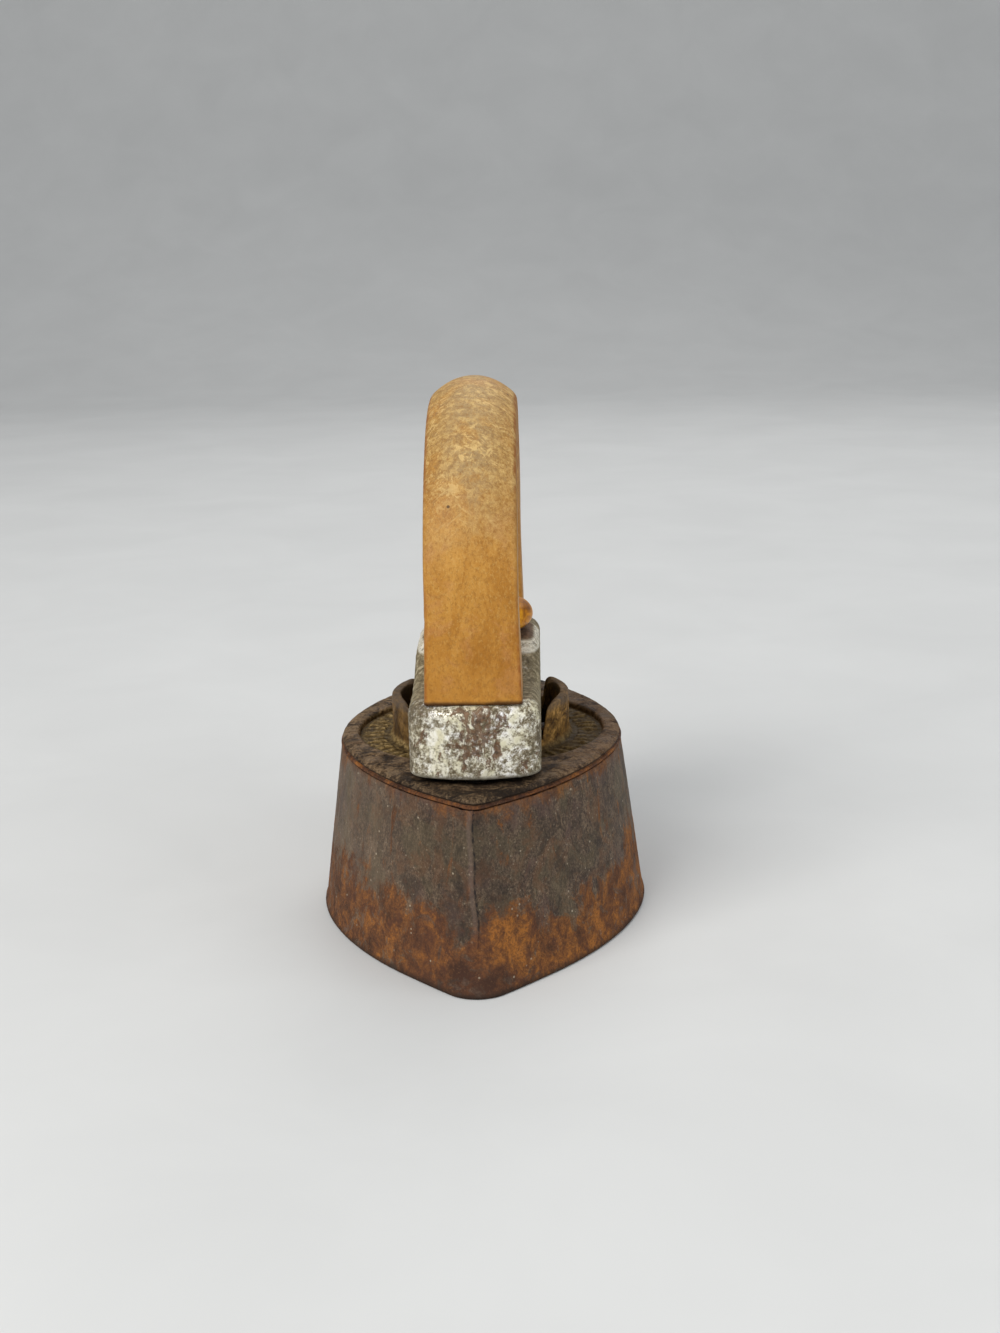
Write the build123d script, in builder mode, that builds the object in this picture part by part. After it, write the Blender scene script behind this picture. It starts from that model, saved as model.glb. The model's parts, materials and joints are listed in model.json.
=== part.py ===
from build123d import *

import os
from math import cos, radians, sin

# Cold-handle sad iron: a hollow cast-iron body with two noses, and a wooden handle that lifts off it.
# Millimetres. X is the iron's width, Y its length with the noses at -Y and +Y, +Z is up,
# and the origin is the centre of the sole. Every height below is measured from the sole.

# ---- body casting ----
SOLE_HALF_LENGTH = 78.6
SOLE_HALF_WIDTH = 50.2
SOLE_THICKNESS = 15.0
SOLE_EDGE_R = 1.0
SEAM_Z = 51.5                # the body's top edge, where the cap sits on it
SEAM_HALF_LENGTH = 70.2
SEAM_HALF_WIDTH = 43.0
SOLE_NOSE_R = 11.0           # the noses are blunt at the sole and crisp at the seam
SEAM_NOSE_R = 4.0
SOLE_NOSE_ANGLE = 47.0       # between the side and the centre line where the nose round starts
SEAM_NOSE_ANGLE = 52.0
SIDE_POWER = 1.9             # the side's fullness: |x| = half_width * (1 - (|y| / half_length)^p)^q
SIDE_ROOT = 0.84
CAVITY_FLOOR_HALF_LENGTH = 54.0
CAVITY_FLOOR_HALF_WIDTH = 40.0
CAVITY_MOUTH_HALF_LENGTH = 46.5
CAVITY_MOUTH_HALF_WIDTH = 38.4
CAVITY_NOSE_R = 14.0
CAVITY_NOSE_ANGLE = 47.0
CORE_GAP = 0.2               # between the plaster core and the metal round it

# ---- cap casting ----
CAP_INSET = 0.3
CAP_DRAFT = 0.8
CAP_TOP_Z = 54.2
CAP_EDGE_R = 1.6
PLUG_Z = 48.6                # underside of the plate that drops into the body's mouth
PLUG_INSET = 0.3
RECESS_R = 36.8
RECESS_Z = 52.4
RECESS_EDGE_R = 1.0
COLLAR_R = 27.0
COLLAR_INNER_R = 23.9
COLLAR_TOP_Z = 65.4
COLLAR_FOOT_R = 27.8
WELL_Z = 44.0
WELL_FLOOR = 2.5
NOTCH_HALF_WIDTH = 18.8
NOTCH_FLARE = 1.8            # each side of a notch leans out by this much at the collar's top
NOTCH_Z = 55.3
NOTCH_CORNER_R = 3.0         # rounds the collar's top where it drops into a notch
RIB_COUNT = 60
RIB_RING_R = 32.6
RIB_LENGTH = 6.0
RIB_WIDTH = 1.4
RIB_HEIGHT = 0.8

# ---- keeper bar and cap screws ----
KEEPER_R = 2.5
KEEPER_Z = 52.0
KEEPER_HALF_LENGTH = 25.4
CAP_SCREW_Y = 50.5
CAP_SCREW_R = 1.9
CAP_SCREW_HEAD_R = 3.6
CAP_SCREW_SINK = 0.4
CAP_SCREW_LENGTH = 13.0
SLOT_WIDTH = 0.9
SLOT_DEPTH = 0.9

# ---- handle bracket: an inverted trough with a hump across its middle ----
BRACKET_HALF_WIDTH = 18.2
BRACKET_HALF_LENGTH = 57.5
BRACKET_BOW = 4.4            # how far each end bulges beyond its corners
BRACKET_CORNER_R = 7.0
BRACKET_WALL = 2.0
BRACKET_BOTTOM_Z = 55.5
BRACKET_TOP_Z = 76.2
BRACKET_EDGE_R = 4.0
HUMP_Z = 84.2
HUMP_FLAT_Y = 6.5            # the hump's plateau ends here
HUMP_FOOT_Y = 33.0           # and its slope has run out here

# ---- wooden grip: a D-shaped arch standing on the bracket ----
GRIP_FOOT_WIDTH = 27.0
GRIP_ARCH_WIDTH = 25.8
GRIP_THICKNESS = 22.0
GRIP_MEAN_R = 44.0           # arch radius to the middle of the wood
GRIP_SPRING_Z = 105.0        # height at which the legs turn into the arch
GRIP_FOOT_EDGE_R = 3.5
GRIP_ARCH_EDGE_R = 9.0
GRIP_SCREW_R = 1.8
GRIP_SCREW_HEAD_R = 4.0
GRIP_SCREW_HEAD = 2.4
GRIP_SCREW_LENGTH = 25.0
GRIP_WASHER_R = 5.5
GRIP_WASHER = 1.2
HOLE_GAP = 0.05              # radial, round screws and rivets

# ---- latch: knob, spindle and spring catch ----
SPINDLE_R = 2.0
SPINDLE_RUNNING_GAP = 0.05
SPINDLE_BOTTOM_Z = 55.2
SPINDLE_TOP_Z = 91.5
BUSH_R = 3.3
BUSH_FLANGE_R = 4.8
BUSH_FLANGE = 0.8
KNOB_WASHER_R = 8.5
KNOB_WASHER_INNER_R = 5.0
KNOB_WASHER = 1.0
KNOB_Z = 85.3
KNOB_R = 16.4
KNOB_HEIGHT = 8.9
KNOB_BASE_R = 12.4
KNOB_CROWN_R = 12.2          # where the rounded rim meets the low dome
KNOB_CROWN_DROP = 1.1        # the dome's fall from the middle to the rim
CLIP_HALF_WIDTH = 7.0        # the catch spring is a bent strip, this wide each side of the middle
CLIP_THICKNESS = 1.0
CLIP_SHOULDER_Y = 8.6
CLIP_BEND_R = 0.9
CLIP_LEG = [(8.6, 73.0), (3.0, 64.6), (4.0, 60.0), (4.0, 50.4), (1.5, 48.8), (4.4, 45.8)]
                             # a leg's bends (distance from the middle, height), down to its hooked foot
RIVET_R = 1.0
RIVET_HEAD_R = 1.4
RIVET_HEAD = 0.8
RIVET_Y = 6.3
SEAT_R = 4.7
SEAT_THICKNESS = 1.2
SEAT_Z = 68.5
SEAT_PIN_R = 0.7
SEAT_PIN_HALF_LENGTH = 3.8
COIL_R = 3.6
COIL_WIRE_R = 0.45
COIL_TURNS = 5.5
CONE_BOTTOM_Z = 58.2
CONE_SHOULDER_Z = 60.4
CONE_TOP_Z = 62.0
CONE_R = 3.0
CONE_TIP_R = 2.35
LOCK_NUT_R = 3.1
LOCK_NUT = 2.4

clip_top_z = HUMP_Z - BRACKET_WALL - 0.1
clip_under_z = clip_top_z - CLIP_THICKNESS

os.makedirs("parts", exist_ok=True)


def boat_outline(half_length, half_width, nose_r, nose_angle):
    """Draw the double-pointed plan in the open BuildLine: two full sides and two round noses."""
    turn = radians(nose_angle)
    nose_x = nose_r * cos(turn)
    nose_y = half_length - nose_r + nose_r * sin(turn)
    stations = [part * half_length for part in (-0.8, -0.55, -0.28, 0, 0.28, 0.55, 0.8)]
    for side in (1, -1):
        points = [(side * nose_x, -nose_y)]
        for y in stations:
            fullness = (1 - (abs(y) / half_length) ** SIDE_POWER) ** SIDE_ROOT
            points.append((side * half_width * fullness, y))
        points.append((side * nose_x, nose_y))
        ends = [(side * sin(turn), cos(turn)), (-side * sin(turn), cos(turn))]
        Spline(*points, tangents=ends)
        ThreePointArc((-nose_x, side * nose_y), (0, side * half_length), (nose_x, side * nose_y))


def finish(part, label):
    """Name a finished piece and write it to its own file."""
    part.label = label
    export_step(part, f"parts/{label}.step")


# ---- body casting: a tapered shell with a thick sole, open at the top ----
with BuildPart() as body_casting:
    with BuildSketch():
        with BuildLine():
            boat_outline(SOLE_HALF_LENGTH, SOLE_HALF_WIDTH, SOLE_NOSE_R, SOLE_NOSE_ANGLE)
        make_face()
    with BuildSketch(Plane.XY.offset(SEAM_Z)):
        with BuildLine():
            boat_outline(SEAM_HALF_LENGTH, SEAM_HALF_WIDTH, SEAM_NOSE_R, SEAM_NOSE_ANGLE)
        make_face()
    loft(ruled=True)
    fillet(body_casting.edges().group_by(Axis.Z)[0], SOLE_EDGE_R)
    with BuildSketch(Plane.XY.offset(SOLE_THICKNESS)):
        with BuildLine():
            boat_outline(CAVITY_FLOOR_HALF_LENGTH, CAVITY_FLOOR_HALF_WIDTH,
                         CAVITY_NOSE_R, CAVITY_NOSE_ANGLE)
        make_face()
    with BuildSketch(Plane.XY.offset(SEAM_Z)):
        with BuildLine():
            boat_outline(CAVITY_MOUTH_HALF_LENGTH, CAVITY_MOUTH_HALF_WIDTH,
                         CAVITY_NOSE_R, CAVITY_NOSE_ANGLE)
        make_face()
    loft(ruled=True, mode=Mode.SUBTRACT)
    with Locations((0, -CAP_SCREW_Y, SEAM_Z), (0, CAP_SCREW_Y, SEAM_Z)):
        Hole(CAP_SCREW_R + HOLE_GAP, depth=CAP_SCREW_LENGTH)
finish(body_casting.part, "body_casting")

# ---- plaster core that fills the body under the cap ----
core_top_z = PLUG_Z - CORE_GAP
core_rise = (core_top_z - SOLE_THICKNESS) / (SEAM_Z - SOLE_THICKNESS)
core_top_length = ((1 - core_rise) * CAVITY_FLOOR_HALF_LENGTH
                   + core_rise * CAVITY_MOUTH_HALF_LENGTH)
core_top_width = ((1 - core_rise) * CAVITY_FLOOR_HALF_WIDTH
                  + core_rise * CAVITY_MOUTH_HALF_WIDTH)
cup_r = COLLAR_INNER_R + WELL_FLOOR

with BuildPart() as insulating_core:
    with BuildSketch(Plane.XY.offset(SOLE_THICKNESS + CORE_GAP)):
        with BuildLine():
            boat_outline(CAVITY_FLOOR_HALF_LENGTH - 2 * CORE_GAP, CAVITY_FLOOR_HALF_WIDTH - 2 * CORE_GAP,
                         CAVITY_NOSE_R, CAVITY_NOSE_ANGLE)
        make_face()
    with BuildSketch(Plane.XY.offset(core_top_z)):
        with BuildLine():
            boat_outline(core_top_length - 2 * CORE_GAP, core_top_width - 2 * CORE_GAP,
                         CAVITY_NOSE_R, CAVITY_NOSE_ANGLE)
        make_face()
    loft(ruled=True)
    with BuildSketch(Plane.XY.offset(WELL_Z - WELL_FLOOR - CORE_GAP)):
        Circle(cup_r + CORE_GAP)
    extrude(until=Until.LAST, mode=Mode.SUBTRACT)
finish(insulating_core.part, "insulating_core")

# ---- cap: rim, round recess with a plain ribbed band, well, and the notched collar ----
with BuildPart() as top_plate:
    with BuildSketch(Plane.XY.offset(SEAM_Z)):
        with BuildLine():
            boat_outline(SEAM_HALF_LENGTH - CAP_INSET, SEAM_HALF_WIDTH - CAP_INSET,
                         SEAM_NOSE_R, SEAM_NOSE_ANGLE)
        make_face()
    with BuildSketch(Plane.XY.offset(CAP_TOP_Z)):
        with BuildLine():
            boat_outline(SEAM_HALF_LENGTH - CAP_INSET - CAP_DRAFT, SEAM_HALF_WIDTH - CAP_INSET - CAP_DRAFT,
                         SEAM_NOSE_R, SEAM_NOSE_ANGLE)
        make_face()
    loft(ruled=True)
    fillet(top_plate.edges().group_by(Axis.Z)[-1], CAP_EDGE_R)
    with BuildSketch(Plane.XY.offset(PLUG_Z)):
        with BuildLine():
            boat_outline(CAVITY_MOUTH_HALF_LENGTH - PLUG_INSET, CAVITY_MOUTH_HALF_WIDTH - PLUG_INSET,
                         CAVITY_NOSE_R, CAVITY_NOSE_ANGLE)
        make_face()
    extrude(amount=SEAM_Z - PLUG_Z)
    with BuildSketch(Plane.XY.offset(RECESS_Z)):
        Circle(RECESS_R)
    extrude(until=Until.LAST, mode=Mode.SUBTRACT)
    recess_edge = top_plate.edges().filter_by(GeomType.CIRCLE).filter_by(
        lambda edge: abs(edge.radius - RECESS_R) < 0.01).sort_by(Axis.Z)[-1]
    fillet(recess_edge, RECESS_EDGE_R)
    with BuildSketch(Plane.XZ):
        with BuildLine():
            Polyline((0, WELL_Z - WELL_FLOOR), (cup_r, WELL_Z - WELL_FLOOR), (cup_r, RECESS_Z),
                     (COLLAR_FOOT_R, RECESS_Z), (COLLAR_R, RECESS_Z + 2 * (COLLAR_FOOT_R - COLLAR_R)),
                     (COLLAR_R, COLLAR_TOP_Z), (0, COLLAR_TOP_Z), (0, WELL_Z - WELL_FLOOR))
        make_face()
    revolve(axis=Axis.Z)
    with BuildSketch(Plane.XY.offset(WELL_Z)):
        Circle(COLLAR_INNER_R)
    extrude(until=Until.LAST, mode=Mode.SUBTRACT)
    with BuildSketch(Plane.XZ):
        with BuildLine():
            notch_top = NOTCH_HALF_WIDTH + NOTCH_FLARE
            Polyline((-NOTCH_HALF_WIDTH, NOTCH_Z), (NOTCH_HALF_WIDTH, NOTCH_Z),
                     (notch_top, COLLAR_TOP_Z), (-notch_top, COLLAR_TOP_Z), close=True)
        make_face()
    extrude(amount=COLLAR_FOOT_R, both=True, mode=Mode.SUBTRACT)
    notch_corners = [edge for edge in top_plate.edges().filter_by(Axis.Y)
                     if edge.center().Z > COLLAR_TOP_Z - 0.1]
    fillet(notch_corners, NOTCH_CORNER_R)
    with BuildSketch(Plane.XY.offset(RECESS_Z)):
        with PolarLocations(RIB_RING_R, RIB_COUNT):
            Rectangle(RIB_LENGTH, RIB_WIDTH)
    extrude(amount=RIB_HEIGHT)
    with BuildSketch(Plane.YZ):
        with Locations((0, KEEPER_Z)):
            Circle(KEEPER_R)
    extrude(amount=KEEPER_HALF_LENGTH, both=True, mode=Mode.SUBTRACT)
    with Locations((0, -CAP_SCREW_Y, CAP_TOP_Z), (0, CAP_SCREW_Y, CAP_TOP_Z)):
        CounterSinkHole(CAP_SCREW_R + HOLE_GAP, CAP_SCREW_HEAD_R + CAP_SCREW_SINK + HOLE_GAP,
                        depth=CAP_TOP_Z - SEAM_Z)
finish(top_plate.part, "top_plate")

# ---- keeper bar across the well, which the catch snaps under ----
with BuildPart() as keeper_bar:
    with BuildSketch(Plane.YZ):
        with Locations((0, KEEPER_Z)):
            Circle(KEEPER_R)
    extrude(amount=KEEPER_HALF_LENGTH, both=True)
finish(keeper_bar.part, "keeper_bar")

# ---- two slotted countersunk screws that hold the cap down, one near each nose ----
cap_head_z = CAP_TOP_Z - CAP_SCREW_SINK

with BuildPart() as cap_screws:
    for y in (-CAP_SCREW_Y, CAP_SCREW_Y):
        with BuildSketch(Plane((0, y, 0), x_dir=(1, 0, 0), z_dir=(0, -1, 0))):
            with BuildLine():
                Polyline((0, SEAM_Z - CAP_SCREW_LENGTH + 1), (CAP_SCREW_R, SEAM_Z - CAP_SCREW_LENGTH + 1),
                         (CAP_SCREW_R, cap_head_z - CAP_SCREW_HEAD_R + CAP_SCREW_R),
                         (CAP_SCREW_HEAD_R, cap_head_z), (0, cap_head_z),
                         (0, SEAM_Z - CAP_SCREW_LENGTH + 1))
            make_face()
        revolve(axis=Axis((0, y, 0), (0, 0, 1)))
        with BuildSketch(Plane((0, y, cap_head_z - SLOT_DEPTH))):
            Rectangle(3 * CAP_SCREW_HEAD_R, SLOT_WIDTH, rotation=25)
        extrude(amount=2 * SLOT_DEPTH, mode=Mode.SUBTRACT)
finish(cap_screws.part, "cap_screws")

# ---- handle bracket ----
grip_foot_y = GRIP_MEAN_R
web_under_z = BRACKET_TOP_Z - BRACKET_WALL


def bracket_plan(half_width, half_length):
    """Draw the bracket's plan in the open BuildLine: straight sides and gently bowed ends."""
    corner_y = half_length - BRACKET_BOW
    Line((half_width, -corner_y), (half_width, corner_y))
    ThreePointArc((half_width, corner_y), (0, half_length), (-half_width, corner_y))
    Line((-half_width, corner_y), (-half_width, -corner_y))
    ThreePointArc((-half_width, -corner_y), (0, -half_length), (half_width, -corner_y))


def bracket_side(bottom_z, shoulder_z, hump_z, half_length):
    """Draw the bracket's side view in the open BuildLine: level ends and a smooth hump between them."""
    Polyline((-HUMP_FOOT_Y, shoulder_z), (-half_length, shoulder_z), (-half_length, bottom_z),
             (half_length, bottom_z), (half_length, shoulder_z), (HUMP_FOOT_Y, shoulder_z))
    Line((-HUMP_FLAT_Y, hump_z), (HUMP_FLAT_Y, hump_z))
    for side in (1, -1):
        Spline((side * HUMP_FOOT_Y, shoulder_z), (side * HUMP_FLAT_Y, hump_z),
               tangents=[(-side, 0), (-side, 0)])


def crest_edges(block, shoulder_z):
    """Pick the edges round a bracket block's top, leaving out the lines that only cross the hump."""
    return [edge for edge in block.edges()
            if edge.center().Z > shoulder_z - 0.1
            and not (abs(edge.tangent_at(0.5).X) > 0.99 and abs(edge.center().Y) < HUMP_FOOT_Y + 1)]


with BuildPart() as bracket_void:
    with BuildSketch(Plane.XY.offset(BRACKET_BOTTOM_Z - 1)):
        with BuildLine():
            bracket_plan(BRACKET_HALF_WIDTH - BRACKET_WALL, BRACKET_HALF_LENGTH - BRACKET_WALL)
        make_face()
        fillet(vertices(), BRACKET_CORNER_R - BRACKET_WALL)
    extrude(amount=HUMP_Z)
    with BuildSketch(Plane.YZ):
        with BuildLine():
            bracket_side(BRACKET_BOTTOM_Z - 1, web_under_z, HUMP_Z - BRACKET_WALL, BRACKET_HALF_LENGTH)
        make_face()
    extrude(amount=BRACKET_HALF_WIDTH, both=True, mode=Mode.INTERSECT)
    fillet(crest_edges(bracket_void, web_under_z), BRACKET_EDGE_R - BRACKET_WALL)

with BuildPart() as handle_bracket:
    with BuildSketch(Plane.XY.offset(BRACKET_BOTTOM_Z)):
        with BuildLine():
            bracket_plan(BRACKET_HALF_WIDTH, BRACKET_HALF_LENGTH)
        make_face()
        fillet(vertices(), BRACKET_CORNER_R)
    extrude(amount=HUMP_Z)
    with BuildSketch(Plane.YZ):
        with BuildLine():
            bracket_side(BRACKET_BOTTOM_Z, BRACKET_TOP_Z, HUMP_Z, BRACKET_HALF_LENGTH + 1)
        make_face()
    extrude(amount=BRACKET_HALF_WIDTH + 1, both=True, mode=Mode.INTERSECT)
    fillet(crest_edges(handle_bracket, BRACKET_TOP_Z), BRACKET_EDGE_R)
    add(bracket_void.part, mode=Mode.SUBTRACT)
    with Locations((0, 0, HUMP_Z)):
        Hole(BUSH_R, depth=3 * BRACKET_WALL)
    with Locations((0, -RIVET_Y, HUMP_Z), (0, RIVET_Y, HUMP_Z)):
        Hole(RIVET_R, depth=3 * BRACKET_WALL)
    with Locations((0, -grip_foot_y, BRACKET_TOP_Z), (0, grip_foot_y, BRACKET_TOP_Z)):
        Hole(GRIP_SCREW_R + HOLE_GAP, depth=3 * BRACKET_WALL)
finish(handle_bracket.part, "handle_bracket")

# ---- wooden grip: squared legs that round off into a half-circle arch ----
with BuildPart() as wood_grip:
    for y in (-grip_foot_y, grip_foot_y):
        with BuildSketch(Plane((0, y, BRACKET_TOP_Z))):
            RectangleRounded(GRIP_FOOT_WIDTH, GRIP_THICKNESS, GRIP_FOOT_EDGE_R)
        with BuildSketch(Plane((0, y, GRIP_SPRING_Z))):
            RectangleRounded(GRIP_ARCH_WIDTH, GRIP_THICKNESS, GRIP_ARCH_EDGE_R)
        loft()
    with BuildSketch(Plane((0, -grip_foot_y, GRIP_SPRING_Z))):
        RectangleRounded(GRIP_ARCH_WIDTH, GRIP_THICKNESS, GRIP_ARCH_EDGE_R)
    revolve(axis=Axis((0, 0, GRIP_SPRING_Z), (-1, 0, 0)), revolution_arc=180)
    with Locations(Plane((0, -grip_foot_y, BRACKET_TOP_Z), z_dir=(0, 0, -1)),
                   Plane((0, grip_foot_y, BRACKET_TOP_Z), z_dir=(0, 0, -1))):
        Hole(GRIP_SCREW_R + HOLE_GAP, depth=GRIP_SCREW_LENGTH)
finish(wood_grip.part, "wood_grip")

# ---- one long screw and washer up into each leg, from inside the bracket ----
washer_under_z = web_under_z - GRIP_WASHER

with BuildPart() as grip_washers:
    for y in (-grip_foot_y, grip_foot_y):
        with BuildSketch(Plane((0, y, washer_under_z))):
            Circle(GRIP_WASHER_R)
            Circle(GRIP_SCREW_R + HOLE_GAP, mode=Mode.SUBTRACT)
        extrude(amount=GRIP_WASHER)
finish(grip_washers.part, "grip_washers")

with BuildPart() as grip_screws:
    for y in (-grip_foot_y, grip_foot_y):
        with BuildSketch(Plane((0, y, washer_under_z - GRIP_SCREW_HEAD))):
            Circle(GRIP_SCREW_HEAD_R)
        extrude(amount=GRIP_SCREW_HEAD)
        fillet(grip_screws.edges().group_by(Axis.Z)[0].filter_by(
            lambda edge: abs(edge.center().Y - y) < 1), GRIP_SCREW_HEAD / 2)
        with BuildSketch(Plane((0, y, washer_under_z))):
            Circle(GRIP_SCREW_R)
        extrude(amount=BRACKET_TOP_Z - washer_under_z + GRIP_SCREW_LENGTH - 1)
        with BuildSketch(Plane((0, y, washer_under_z - GRIP_SCREW_HEAD))):
            Rectangle(3 * GRIP_SCREW_HEAD_R, SLOT_WIDTH, rotation=40)
        extrude(amount=SLOT_DEPTH, mode=Mode.SUBTRACT)
finish(grip_screws.part, "grip_screws")

# ---- spindle bush pressed into the hump, and the loose-looking plain washer round it ----
with BuildPart() as spindle_bush:
    with BuildSketch(Plane.XY.offset(clip_under_z)):
        Circle(BUSH_R)
    extrude(amount=HUMP_Z - clip_under_z)
    with BuildSketch(Plane.XY.offset(HUMP_Z)):
        Circle(BUSH_FLANGE_R)
    extrude(amount=BUSH_FLANGE)
    with Locations((0, 0, HUMP_Z + BUSH_FLANGE)):
        Hole(SPINDLE_R + SPINDLE_RUNNING_GAP, depth=3 * BRACKET_WALL)
finish(spindle_bush.part, "spindle_bush")

with BuildPart() as knob_washer:
    with BuildSketch(Plane.XY.offset(HUMP_Z)):
        Circle(KNOB_WASHER_R)
        Circle(KNOB_WASHER_INNER_R, mode=Mode.SUBTRACT)
    extrude(amount=KNOB_WASHER)
    fillet(knob_washer.edges().group_by(Axis.Z)[-1].sort_by(SortBy.LENGTH)[-1], KNOB_WASHER / 2)
finish(knob_washer.part, "knob_washer")

# ---- catch spring: a two-legged strip riveted under the hump, hooked under the keeper bar ----
with BuildPart() as catch_spring:
    with BuildSketch(Plane.YZ):
        for side in (1, -1):
            with BuildLine():
                strip_z = clip_top_z - CLIP_THICKNESS / 2
                leg = [(side * y, z) for y, z in CLIP_LEG]
                FilletPolyline((0, strip_z), (side * CLIP_SHOULDER_Y, strip_z), *leg, radius=CLIP_BEND_R)
            trace(line_width=CLIP_THICKNESS)
    extrude(amount=CLIP_HALF_WIDTH, both=True)
    with Locations((0, 0, clip_top_z)):
        Hole(BUSH_R, depth=2 * CLIP_THICKNESS)
    with Locations((0, -RIVET_Y, clip_top_z), (0, RIVET_Y, clip_top_z)):
        Hole(RIVET_R, depth=2 * CLIP_THICKNESS)
finish(catch_spring.part, "catch_spring")

with BuildPart() as catch_rivets:
    for y in (-RIVET_Y, RIVET_Y):
        with BuildSketch(Plane((0, y, clip_under_z - RIVET_HEAD))):
            Circle(RIVET_HEAD_R)
        extrude(amount=RIVET_HEAD)
        with BuildSketch(Plane((0, y, clip_under_z))):
            Circle(RIVET_R)
        extrude(amount=HUMP_Z - clip_under_z)
finish(catch_rivets.part, "catch_rivets")

# ---- latch knob: a turned wooden button on the spindle ----
with BuildPart() as latch_knob:
    with BuildSketch(Plane.XZ):
        with BuildLine():
            rim = Spline((KNOB_BASE_R, KNOB_Z), (KNOB_R, KNOB_Z + 0.43 * KNOB_HEIGHT),
                         (KNOB_CROWN_R, KNOB_Z + KNOB_HEIGHT - KNOB_CROWN_DROP),
                         tangents=[(1, 0), (-KNOB_CROWN_R, 2 * KNOB_CROWN_DROP)])
            Polyline((0, KNOB_Z + KNOB_HEIGHT), (0, KNOB_Z), rim @ 0)
            dome_r = (KNOB_CROWN_R ** 2 + KNOB_CROWN_DROP ** 2) / (2 * KNOB_CROWN_DROP)
            RadiusArc((0, KNOB_Z + KNOB_HEIGHT), rim @ 1, dome_r)
        make_face()
    revolve(axis=Axis.Z)
    with Locations(Plane((0, 0, KNOB_Z), z_dir=(0, 0, -1))):
        Hole(SPINDLE_R, depth=SPINDLE_TOP_Z - KNOB_Z)
finish(latch_knob.part, "latch_knob")

with BuildPart() as latch_spindle:
    with BuildSketch(Plane.XY.offset(SPINDLE_BOTTOM_Z)):
        Circle(SPINDLE_R)
    extrude(amount=SPINDLE_TOP_Z - SPINDLE_BOTTOM_Z)
    with BuildSketch(Plane.YZ):
        with Locations((0, SEAT_Z - SEAT_PIN_R)):
            Circle(SEAT_PIN_R)
    extrude(amount=SPINDLE_R, both=True, mode=Mode.SUBTRACT)
finish(latch_spindle.part, "latch_spindle")

# ---- spring seat on the spindle, the cross pin under it, and the return spring above it ----
with BuildPart() as spring_seat:
    with BuildSketch(Plane.XY.offset(SEAT_Z)):
        Circle(SEAT_R)
        Circle(SPINDLE_R, mode=Mode.SUBTRACT)
    extrude(amount=SEAT_THICKNESS)
finish(spring_seat.part, "spring_seat")

with BuildPart() as seat_pin:
    with BuildSketch(Plane.YZ):
        with Locations((0, SEAT_Z - SEAT_PIN_R)):
            Circle(SEAT_PIN_R)
    extrude(amount=SEAT_PIN_HALF_LENGTH, both=True)
finish(seat_pin.part, "seat_pin")

coil_bottom_z = SEAT_Z + SEAT_THICKNESS + COIL_WIRE_R
coil_height = clip_under_z - COIL_WIRE_R - coil_bottom_z

with BuildPart() as return_spring:
    with BuildLine(Plane.XY.offset(coil_bottom_z)):
        coil = Helix(pitch=coil_height / COIL_TURNS, height=coil_height, radius=COIL_R)
    with BuildSketch(Plane(coil @ 0, z_dir=coil % 0)):
        Circle(COIL_WIRE_R)
    sweep(is_frenet=True)
finish(return_spring.part, "return_spring")

# ---- spreader cone and its lock nut at the foot of the spindle ----
with BuildPart() as spreader_cone:
    with BuildSketch(Plane.XZ):
        with BuildLine():
            Polyline((SPINDLE_R, CONE_BOTTOM_Z), (CONE_R, CONE_BOTTOM_Z), (CONE_R, CONE_SHOULDER_Z),
                     (CONE_TIP_R, CONE_TOP_Z), (SPINDLE_R, CONE_TOP_Z), (SPINDLE_R, CONE_BOTTOM_Z))
        make_face()
    revolve(axis=Axis.Z)
finish(spreader_cone.part, "spreader_cone")

with BuildPart() as lock_nut:
    with BuildSketch(Plane.XY.offset(CONE_BOTTOM_Z - LOCK_NUT)):
        RegularPolygon(LOCK_NUT_R, 6)
        Circle(SPINDLE_R, mode=Mode.SUBTRACT)
    extrude(amount=LOCK_NUT)
finish(lock_nut.part, "lock_nut")
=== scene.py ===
import json
from math import acos, atan2, cos, pi, radians, sin, sqrt

import bpy
import numpy as np
from mathutils import Matrix, Vector, noise


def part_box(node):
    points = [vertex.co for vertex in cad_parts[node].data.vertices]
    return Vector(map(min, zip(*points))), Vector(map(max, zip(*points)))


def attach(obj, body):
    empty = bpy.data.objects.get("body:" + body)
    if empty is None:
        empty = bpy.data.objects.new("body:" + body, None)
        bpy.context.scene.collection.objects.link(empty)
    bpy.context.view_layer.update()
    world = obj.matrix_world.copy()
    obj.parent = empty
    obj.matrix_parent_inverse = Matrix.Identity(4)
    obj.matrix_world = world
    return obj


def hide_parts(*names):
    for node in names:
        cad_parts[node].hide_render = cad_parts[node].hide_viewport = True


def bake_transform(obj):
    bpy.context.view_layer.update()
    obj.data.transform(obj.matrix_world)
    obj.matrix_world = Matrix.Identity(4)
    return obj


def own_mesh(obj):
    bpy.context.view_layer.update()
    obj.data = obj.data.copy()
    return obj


# A cold-handle sad iron: cast-iron body and cap, nickel-plated bracket, wooden grip and pull knob.
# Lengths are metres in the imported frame: X is the width, Y the length, +Z is up from the sole.

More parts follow.
